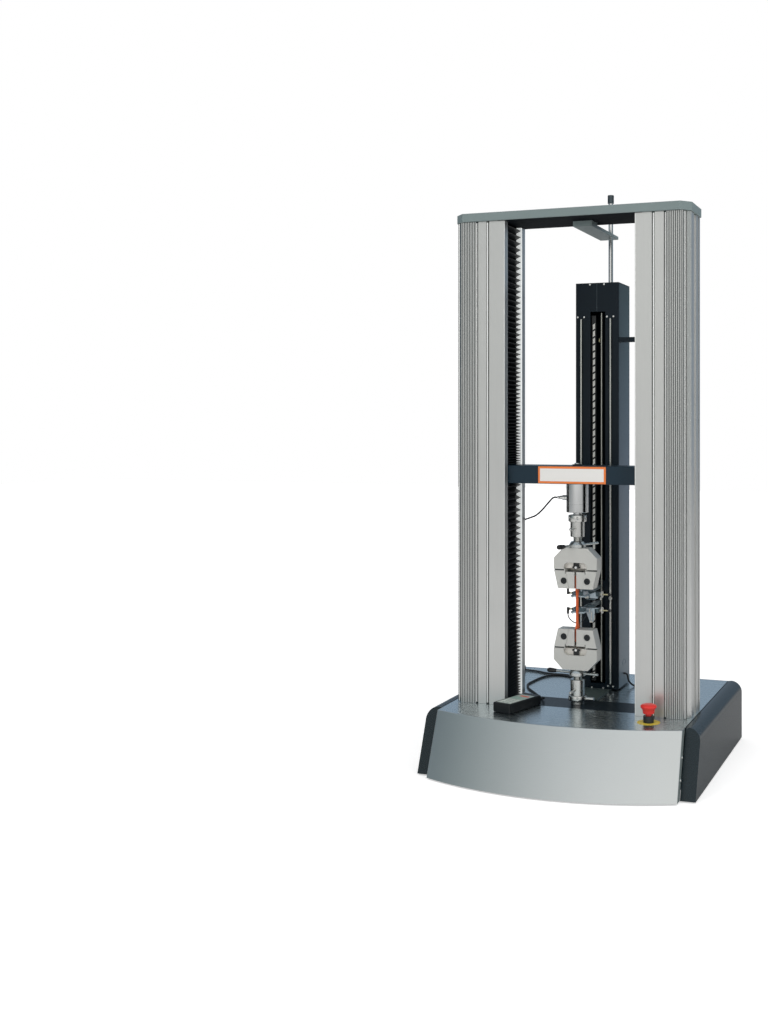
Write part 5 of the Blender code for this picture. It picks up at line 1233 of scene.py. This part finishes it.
# Levers: a steel ring on each adapter that opens the jaws, with two round arms screwed in.
# One arm ends in a black taper knob.
LEVER_R = 0.025
LEVER_T = 0.0185
ARM_R = 0.0038
KNOB_L = 0.030
lever_steel = finish("lever_steel", (0.62, 0.64, 0.63), 0.26, 1.0, grain=(300, 300, 900), shade=0.06)
knob_black = finish("knob_black", (0.011, 0.011, 0.012), 0.35, grain=500, shade=0.2, coat=0.1)
for label, body, low, turn, short, long in (
    ("upper", "upper_handle", UPPER_GRIP_TOP + GAP, math.radians(66), 0.092, 0.056),
    ("lower", "lower_handle", LOWER_GRIP_END - GAP - LEVER_T, math.radians(-8), 0.067, 0.070),
):
    inner = NECK_R + GAP
    outline = [
        (inner, low), (LEVER_R - 0.0010, low), (LEVER_R, low + 0.0010), (LEVER_R, low + LEVER_T * 0.52),
        (LEVER_R - 0.0008, low + LEVER_T * 0.58), (LEVER_R - 0.0058, low + LEVER_T - 0.0006),
        (LEVER_R - 0.0066, low + LEVER_T), (inner, low + LEVER_T),
    ]
    ring = turned("ring", outline, (0, AXIS_Y, 0), steps=96)
    aim = Vector((math.cos(turn), math.sin(turn), 0))
    hub = Vector((0, AXIS_Y, low + LEVER_T * 0.36))
    near = bar("arm", hub + aim * (LEVER_R - 0.004), hub + aim * short, ARM_R, 32)
    far = bar("arm", hub - aim * (LEVER_R - 0.004), hub - aim * long, ARM_R, 32)
    lever = join(label + "_lever_ring", ring, near, far)
    fit(lever, lever_steel, body, "turned_steel", label + "_lever")
    outline = [
        (0, 0), (0.0050, 0), (0.0056, 0.0008), (0.0066, KNOB_L * 0.30), (0.0072, KNOB_L * 0.55),
        (0.0071, KNOB_L * 0.80), (0.0060, KNOB_L * 0.93), (0.0036, KNOB_L * 0.99), (0, KNOB_L),
    ]
    grip = turned(label + "_taper_knob", outline, steps=40)
    grip.data.transform(Matrix.Translation(hub - aim * (long + GAP)) @ aimed(-aim))
    fit(grip, knob_black, body, "black_plastic", label + "_knob")


# Specimen: a moulded orange dog bone bar, seen edge on.
# Its wider ends are held in the jaws of both grips.
specimen_orange = finish(
    "specimen_orange", (0.68, 0.11, 0.018), 0.45, grain=(400, 400, 60), shade=0.12, relief=0.00002
)
profile = [(-0.098, 0.0125), (-0.056, 0.0125)]
for step in range(1, 9):
    share = step / 8
    profile.append((-0.056 + 0.016 * share, 0.0125 - 0.0065 * math.sin(math.radians(90) * share) ** 1.3))
profile += [(-height, wide) for height, wide in profile[::-1]]
outline = [(AXIS_Y + wide, MID + height) for height, wide in profile]
outline += [(AXIS_Y - wide, MID + height) for height, wide in profile[::-1]]
bone = slab("dog_bone", outline, "x", -0.0025, 0.0025, 0.0003)
fit(bone, specimen_orange, "frame", "orange_plastic", "specimen")


# Extensometer tower: a folded steel case painted blue black, open in front where the arms run.
# Inside the slot hang a measuring strip with steps and the thin rod of the counterweight.
tower_paint = finish(
    "tower_paint", (0.003, 0.010, 0.017), 0.40, grain=600, shade=0.12, gloss=0.04, sheen=0.22
)
dress(tower_paint, "extensometer_tower")
TOWER_FRONT = AXIS_Y + 0.205
TOWER_TOP = DECK + 1.2765
OPEN_LOW = DECK + 0.019
OPEN_TOP = DECK + 1.1859
GUIDE_TOP = OPEN_TOP - 0.0223
strip_white = finish("strip_white", (0.75, 0.75, 0.70), 0.4, grain=500, shade=0.06)
strip_dark = finish("strip_dark", (0.010, 0.012, 0.013), 0.45, grain=500, shade=0.2)
STRIP_X = (-0.0222, -0.0085)
strip_y = (TOWER_FRONT + 0.0085, TOWER_FRONT + 0.0100)
backing = block("strip_backing", STRIP_X, strip_y, (OPEN_LOW + 0.006, OPEN_TOP - 0.012))
fit(backing, strip_dark, "frame", "navy_paint")
steps = []
STEP = 0.0224
height = OPEN_LOW + 0.012
while height + STEP < OPEN_TOP - 0.014:
    bit = [
        (-0.0186, height + 0.0014), (-0.0118, height + 0.0052), (-0.0118, height + STEP - 0.0010),
        (-0.0186, height + STEP - 0.0048),
    ]
    steps.append(slab("bit", bit, "y", TOWER_FRONT + 0.0078, TOWER_FRONT + 0.0086))
    height += STEP
fit(join("strip_steps", *steps), strip_white, "frame", "pale_plate")
rod_low = (0.0108, TOWER_FRONT + 0.0050, OPEN_LOW + 0.004)
rod_high = (0.0108, TOWER_FRONT + 0.0050, OPEN_TOP - 0.004)
rod_grey = finish("rod_grey", (0.55, 0.56, 0.50), 0.35, 0.5, grain=(500, 500, 20))
fit(bar("weight_rod", rod_low, rod_high, 0.0021, 20), rod_grey, "frame", "turned_steel")
wheel = [
    (0.0022, -0.0020), (0.0080, -0.0020), (0.0090, -0.0016), (0.0082, -0.0004), (0.0082, 0.0004),
    (0.0090, 0.0016), (0.0080, 0.0020), (0.0022, 0.0020),
]
brass = finish("brass", (0.66, 0.60, 0.38), 0.28, 0.9, grain=500, shade=0.08, gloss=0.04)
pulley = turned("weight_pulley", wheel, (0.0040, TOWER_FRONT + 0.0130, TOWER_TOP - 0.1800), "x", 48)
fit(pulley, brass, "frame", "turned_steel")
spots = []
for height, row in (
    (GUIDE_TOP + 0.0060, (-0.0660, -0.0450, 0.0300, 0.0512)),
    (TOWER_TOP - 0.0050, (-0.0256, 0.0206)),
    (OPEN_LOW - 0.0065, (-0.0625, -0.0465, 0.0335, 0.0500)),
    (DECK + 0.0050, (-0.0190, 0.0180)),
):
    spots += [(x, TOWER_FRONT, height) for x in row]
fit(screws("tower_screws", spots, (0, -1, 0), 0.0034), screw_steel, "frame", "turned_steel")
seam_grey = finish("seam_grey", (0.10, 0.14, 0.16), 0.4, grain=500)
seam_y = (TOWER_FRONT - 0.0002, TOWER_FRONT + 0.001)
seam = block("tower_seam", (-0.0036, -0.0030), seam_y, (OPEN_TOP + 0.001, TOWER_TOP - 0.001))
fit(seam, seam_grey, "frame", "navy_paint")


# Tower side panel: a thin sheet riveted to the tower's right, painted blue grey, whose colour runs paler
# towards its foot. It has an oval emboss near its foot and a hole for the black arm near its top.
side_blue = finish("side_paint", (0.085, 0.125, 0.165), 0.40, grain=300, shade=0.05, gloss=0.04)
tree = side_blue.node_tree
place = shader_node(tree, "TexCoord")
split = shader_node(tree, "SeparateXYZ")
height = shader_node(tree, "MapRange", {"From Min": DECK, "From Max": TOWER_TOP})
fade = colour_ramp(
    tree,
    (0, (0.110, 0.150, 0.185)),
    (0.55, (0.075, 0.105, 0.145)),
    (0.80, (0.050, 0.080, 0.100)),
    (1, (0.022, 0.042, 0.046)),
)
link(
    tree,
    (place.outputs["Object"], split.inputs[0]),
    (split.outputs["Z"], height.inputs["Value"]),
    (height.outputs[0], fade.inputs["Fac"]),
    (fade.outputs["Color"], tree.nodes["Principled BSDF"].inputs["Base Color"]),
)
panel = block(
    "tower_side_sheet",
    (0.0670, 0.0682),
    (TOWER_FRONT + 0.0040, AXIS_Y + 0.3290),
    (DECK + 0.006, TOWER_TOP - 0.003),
    0.0003,
)
hole_y = (TOWER_FRONT, TOWER_FRONT + 0.0235)
carve(panel, block("arm_hole", (0.06, 0.08), hole_y, (TOWER_TOP - 0.189, TOWER_TOP - 0.171)))
fit(panel, side_blue, "frame", "navy_paint")
OVAL = (0, TOWER_FRONT + 0.062, DECK + 0.078)


def oval(name, wide, high, low, top, edge=0.0):
    """A flat oval on the tower's side."""
    turns = [math.radians(7.5) * step for step in range(48)]
    outline = [(wide * math.cos(turn), high * math.sin(turn)) for turn in turns]
    return slab(name, outline, "x", low, top, edge, OVAL)


emboss = oval("tower_emboss", 0.0190, 0.0105, 0.0681, 0.0688, 0.0002)
carve(emboss, oval("inner", 0.0165, 0.0080, 0.0670, 0.0700))
fit(emboss, side_blue, "frame", "navy_paint")


# Extensometer guides: two ground rods in the front channels of the tower, which the arms run on.
# A pale stop ring sits low on the right one. The tower's rear is closed by eight screws.
rod_steel = finish("rod_steel", (0.66, 0.66, 0.62), 0.22, 1.0, grain=(700, 700, 30), shade=0.04, gloss=0.04)
GUIDE_R = 0.0034
GUIDE_Y = TOWER_FRONT - 0.0020
GUIDE_RIGHT = 0.0416
for label, x in (("left", -0.0545), ("right", GUIDE_RIGHT)):
    guide = bar("guide_bar_" + label, (x, GUIDE_Y, OPEN_LOW + GAP), (x, GUIDE_Y, GUIDE_TOP), GUIDE_R, 32)
    fit(guide, rod_steel, "frame", "turned_steel", "extensometer_guide_" + label)
spots = []
tower_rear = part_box("extensometer_tower")[1][1] - 0.0003
for x in (-0.0640, 0.0590):
    for share in (0.03, 0.35, 0.66, 0.97):
        spots.append((x, tower_rear, DECK + 0.01 + (TOWER_TOP - DECK - 0.02) * share))
fit(screws("tower_rear_screws", spots, (0, 1, 0), 0.0036), screw_steel, "frame", "turned_steel")
outline = [(0.0035, -0.0035), (0.0052, -0.0030), (0.0058, 0), (0.0052, 0.0030), (0.0035, 0.0035)]
stop = turned("guide_stop", outline, (GUIDE_RIGHT, GUIDE_Y, DECK + 0.2875), steps=40)
fit(stop, strip_white, "frame", "pale_plate")


# Extensometer arms: milled and anodised carriages with a fork at the specimen.
# Brass pins with white washers carry the feelers, and black elbows take the sensor leads.
arm_alloy = finish("arm_alloy", (0.42, 0.50, 0.55), 0.32, 0.6, grain=(500, 40, 500), shade=0.08, gloss=0.04)
arm_dark = finish("arm_dark", (0.075, 0.115, 0.135), 0.35, 0.4, grain=500, shade=0.15, gloss=0.04)
GAUGE_MID = DECK + 0.2965
HALF_GAUGE = 0.024
PIN_Y = 0.060
SLIDE_Y = 0.229


def arm_pieces(height, up):
    """The pieces of one arm by material, with up as 1 on the upper arm and -1 on the lower one."""
    kinds = {kind: [] for kind in ("alloy", "slide", "dark", "pale", "gold", "black")}
    middle = (0, AXIS_Y, height)

    def add_block(kind, xs, ys, zs, edge):
        """A block of one kind, measured from the arm's middle at the load axis."""
        kinds[kind].append(block("part", xs, ys, zs, edge, middle))

    def add_bar(kind, start, end, radius, steps):
        """A bar of one kind, measured the same way."""
        kinds[kind].append(bar("part", start, end, radius, steps, at=middle))

    def add_slab(kind, outline, axis, low, high, edge=0.0004):
        """A flat outline of one kind, measured the same way."""
        kinds[kind].append(slab("part", outline, axis, low, high, edge, middle))

    def along(kind, x0, x1, radius, steps):
        """A bar on the line of the arm's cross pin."""
        add_bar(kind, (x0, PIN_Y, 0), (x1, PIN_Y, 0), radius, steps)

    add_block("slide", (-0.0682, 0.0632), (SLIDE_Y, SLIDE_Y + 0.020), (-0.018, 0.018), 0.0012)
    add_block("alloy", (-0.0072, 0.0062), (0.075, 0.235), (-0.0055, 0.0055), 0.0008)
    fin = [(0.195, -0.004), (0.195, 0.004), (0.110, 0.016), (0.050, 0.012), (0.050, -0.006), (0.110, -0.008)]
    add_slab("alloy", [(y, up * z) for y, z in fin], "x", -0.0068, -0.0018)
    along("alloy", -0.036, 0.052, 0.0032, 24)
    add_block("dark", (-0.030, 0.050), (0.048, 0.078), (-0.0065, 0.0065), 0.0010)
    for side in (-1, 1):
        near = side * 0.0028
        far = side * 0.016
        prong = [(near, -0.0015), (near, 0.0015), (far, 0.010), (far + side * 0.004, 0.060)]
        prong += [(far + side * 0.010, 0.060), (far + side * 0.005, 0.000), (far - side * 0.002, -0.0055)]
        add_slab("alloy", prong, "z", -0.002, 0.002)
        add_bar("dark", (far, 0.004, -0.0045), (far, 0.004, 0.0045), 0.0026, 20)
    along("gold", -0.046, -0.030, 0.0027, 24)
    along("gold", 0.050, 0.0820, 0.0024, 24)
    along("pale", 0.0566, 0.0606, 0.0095, 40)
    along("black", 0.0775, 0.0855, 0.0044, 28)
    add_bar("black", (-0.050, PIN_Y, -up * 0.0042), (-0.050, PIN_Y, up * 0.0150), 0.0036, 24)
    along("black", -0.050, -0.0435, 0.0036, 24)
    along("black", -0.0365, -0.0335, 0.0042, 24)
    if up > 0:
        cheek = [(0.0245, -0.0105), (0.0500, -0.0105), (0.0500, -0.0065)]
        cheek += [(0.0450, -0.0030), (0.0430, 0.0090), (0.0245, 0.0010)]
        add_slab("alloy", cheek, "y", 0.0420, 0.0480, 0.0005)
        leaf = [(0.0040, -0.0105), (0.0225, -0.0105), (0.0225, 0.0035), (0.0160, 0.0095), (0.0040, 0.0095)]
        add_slab("alloy", leaf, "y", 0.0440, 0.0485, 0.0005)
        for x in (0.0135, 0.0195):
            add_bar("pale", (x, 0.0400, -0.0115), (x, 0.0400, -0.0005), 0.0026, 28)
        add_bar("alloy", (-0.0190, 0.040, -0.0115), (-0.0120, 0.040, -0.0115), 0.0020, 20)
        add_block("dark", (0.0130, 0.0400), (0.044, 0.058), (-0.0160, -0.0120), 0.0005)
        add_bar("pale", (0.0540, PIN_Y, -0.0175), (0.0540, PIN_Y, -0.0085), 0.0022, 20)
    else:
        add_block("alloy", (-0.002, 0.052), (0.0400, 0.0480), (0.0068, 0.0092), 0.0004)
        shield = [(0.0150, 0.0080), (0.0410, 0.0080), (0.0410, -0.0060), (0.0375, -0.0260)]
        shield += [(0.0375, -0.0330), (0.0255, -0.0330), (0.0225, -0.0250), (0.0150, -0.0060)]
        add_slab("alloy", shield, "y", 0.0400, 0.0425)
        add_bar("alloy", (-0.0090, 0.062, -0.0580), (-0.0090, 0.062, -0.0060), 0.0016, 20)
        # Painted highlights: the pale block at the shield's foot and the two thin pale bars on it.
        add_block("pale", (0.0258, 0.0350), (0.0370, 0.0430), (-0.0345, -0.0305), 0.0004)
        add_bar("pale", (0.0320, 0.0385, -0.0290), (0.0320, 0.0385, -0.0040), 0.0015, 20)
        add_bar("pale", (0.0258, 0.0385, -0.0060), (0.0258, 0.0385, 0.0060), 0.0017, 20)
        add_block("pale", (-0.0120, -0.0030), (0.0440, 0.0480), (-0.0110, -0.0066), 0.0005)
        add_block("dark", (0.0130, 0.0400), (0.044, 0.058), (0.0120, 0.0160), 0.0005)
    return kinds


arm_finishes = {
    "alloy": arm_alloy,
    "slide": tower_paint,
    "dark": arm_dark,
    "pale": strip_white,
    "gold": brass,
    "black": knob_black,
}
for label, up in (("upper", 1), ("lower", -1)):
    height = GAUGE_MID + up * HALF_GAUGE
    for kind, made in arm_pieces(height, up).items():
        slot = "anodised" if kind in ("alloy", "slide", "dark") else "turned_steel"
        replaced = ["extensometer_arm_" + label] if kind == "alloy" else []
        fit(join(label + "_arm_" + kind, *made), arm_finishes[kind], label + "_arm", slot, *replaced)
    route = [
        (-0.0500, 0.060, 0.0145), (-0.0485, 0.060, 0.0240), (-0.0420, 0.062, 0.0340),
        (-0.0300, 0.072, 0.0440), (-0.0180, 0.100, 0.0430), (-0.0090, 0.150, 0.0200),
        (-0.0040, 0.195, 0.0085), (-0.0030, 0.228, 0.0070),
    ]
    route = [(x, AXIS_Y + y, height + up * z) for x, y, z in route]
    lead = tube(label + "_arm_lead", smooth_line(route, 0.004), 0.0015, 10)
    fit(lead, knob_black, label + "_arm", "black_rubber")


# Stay rod: a polished bar from the tower's top through the bracket under the cap.
# A dark sleeve closes its upper end and a set screw holds it in the tower.
STAY_X = 0.038
STAY_Y = AXIS_Y + 0.220
STAY_TOP = DECK + 1.551
stay = bar("stay_bar", (STAY_X, STAY_Y, TOWER_TOP - 0.044), (STAY_X, STAY_Y, STAY_TOP - 0.025), 0.0072, 48)
fit(stay, polished, "frame", "polished_steel", "stay_rod")
sleeve_dark = finish("sleeve_dark", (0.07, 0.09, 0.10), 0.3, 0.7, grain=500, shade=0.1)
outline = [(0, -0.026), (0.0090, -0.026), (0.0098, -0.0252), (0.0098, -0.0012), (0.0090, 0), (0, 0)]
stay_sleeve = turned("stay_sleeve", outline, (STAY_X, STAY_Y, STAY_TOP), steps=48)
fit(stay_sleeve, sleeve_dark, "frame", "turned_steel")


# Bracket: an aluminium block and a drilled bar that steady the stay rod.
# They are screwed under the cap and painted like it.
dress(grey_paint, "top_bracket")


# Emergency stop: a red mushroom button on a black collar, on a yellow disc on the deck.
# The head flares upwards and moves down on its stem.
ESTOP_X = 0.255
ESTOP_Y = AXIS_Y - 0.140
stop_red = finish("stop_red", (0.72, 0.030, 0.022), 0.35, grain=500, shade=0.05, coat=0.2)
stop_black = finish("stop_black", (0.018, 0.020, 0.022), 0.4, grain=500, shade=0.15)
stop_yellow = finish("stop_yellow", (0.68, 0.52, 0.06), 0.45, grain=400, shade=0.06)
DISC_IN = 0.0151
DISC_OUT = 0.0325
DISC_T = 0.0004
outline = [(DISC_IN, 0), (DISC_OUT, 0), (DISC_OUT, DISC_T), (DISC_IN, DISC_T)]
disc = turned("stop_disc", outline, (ESTOP_X, ESTOP_Y, DECK + 0.00005), steps=96)
fit(disc, stop_yellow, "frame", "pale_plate")
outline = [
    (0.0088, 0), (0.0150, 0), (0.0150, 0.0050), (0.0146, 0.0055), (0.0146, 0.0065), (0.0150, 0.0070),
    (0.0150, 0.0178), (0.0140, 0.0190), (0.0088, 0.0190),
]
collar = turned("stop_collar", outline, (ESTOP_X, ESTOP_Y, DECK + GAP), steps=64)
fit(collar, stop_black, "frame", "black_plastic", "estop_collar")
HEAD_LOW = DECK + GAP + 0.0250
outline = [
    (0, HEAD_LOW - 0.0130), (0.0080, HEAD_LOW - 0.0130), (0.0080, HEAD_LOW), (0.0152, HEAD_LOW),
    (0.0160, HEAD_LOW + 0.0008), (0.0168, HEAD_LOW + 0.0060), (0.0178, HEAD_LOW + 0.0105),
    (0.0200, HEAD_LOW + 0.0140), (0.0225, HEAD_LOW + 0.0168), (0.0230, HEAD_LOW + 0.0190),
    (0.0226, HEAD_LOW + 0.0212), (0.0205, HEAD_LOW + 0.0238), (0.0160, HEAD_LOW + 0.0256),
    (0.0090, HEAD_LOW + 0.0266), (0, HEAD_LOW + 0.0268),
]
mushroom = turned("stop_mushroom", outline, (ESTOP_X, ESTOP_Y, 0), steps=64)
fit(mushroom, stop_red, "stop_button", "red_plastic", "estop_head")


# Hand pendant: a black moulded case with a pale keypad foil let into its top.
# The foil has an orange band and rows of small keys, without signs.
case_black = finish(
    "case_black", (0.006, 0.007, 0.008), 0.38, grain=900, shade=0.2, relief=0.00003, sheen=0.35
)
half_l = PENDANT_L / 2
half_w = PENDANT_W / 2
in_place = Matrix.Translation((0, AXIS_Y, 0)) @ pendant_place
case = block("pendant_shell", (-half_l, half_l), (-half_w, half_w), (0, PENDANT_T), 0.0042)
carve(case, block("well", (-0.066, 0.052), (-0.026, 0.026), (PENDANT_T - 0.0012, PENDANT_T + 0.01)))
outline = [(0, 0.002), (0.0068, 0.002), (0.0062, -0.004), (0.0055, -0.0125), (0.0042, -0.018), (0, -0.018)]
relief = turned("relief", outline, (half_l, RELIEF_Y, RELIEF_Z), "x", 32)
case = join("pendant_shell", case, relief)
case.data.transform(in_place)
fit(case, case_black, "frame", "black_plastic", "pendant_case")
foil_pale = finish("foil_pale", (0.36, 0.43, 0.40), 0.4, grain=500, shade=0.08)
key_green = finish("key_green", (0.25, 0.42, 0.36), 0.4, grain=500, shade=0.06)
key_white = finish("key_white", (0.58, 0.62, 0.58), 0.4, grain=500, shade=0.05)
key_orange = finish("key_orange", (0.66, 0.10, 0.03), 0.4, grain=500, shade=0.08)
foil_z = (PENDANT_T - 0.0011, PENDANT_T - 0.0004)
foil = block("pendant_foil", (-0.0655, 0.0515), (-0.0255, 0.0255), foil_z)
foil.data.transform(in_place)
fit(foil, foil_pale, "frame", "pale_plate")


def keys(name, spots, long, wide):
    """Raised keys at their places on the foil, as one piece."""
    height = (PENDANT_T - 0.0006, PENDANT_T + 0.0002)
    made = []
    for x, y in spots:
        made.append(block("key", (x - long / 2, x + long / 2), (y - wide / 2, y + wide / 2), height, 0.0003))
    pad = join(name, *made)
    pad.data.transform(in_place)
    return pad


def key_rows(first, pitch, columns):
    """The places of three rows of keys."""
    return [(first + pitch * column, -0.016 + 0.0160 * row) for column in range(columns) for row in range(3)]


KEY_L = 0.0085
KEY_W = 0.0105
fit(keys("pendant_keys_white", key_rows(-0.055, 0.0125, 4), KEY_L, KEY_W), key_white, "frame", "pale_plate")
fit(keys("pendant_keys_green", key_rows(0.0000, 0.0130, 2), KEY_L, KEY_W), key_green, "frame", "pale_plate")
fit(keys("pendant_band", [(0.0320, -0.0030)], 0.0090, 0.0300), key_orange, "frame", "pale_plate")
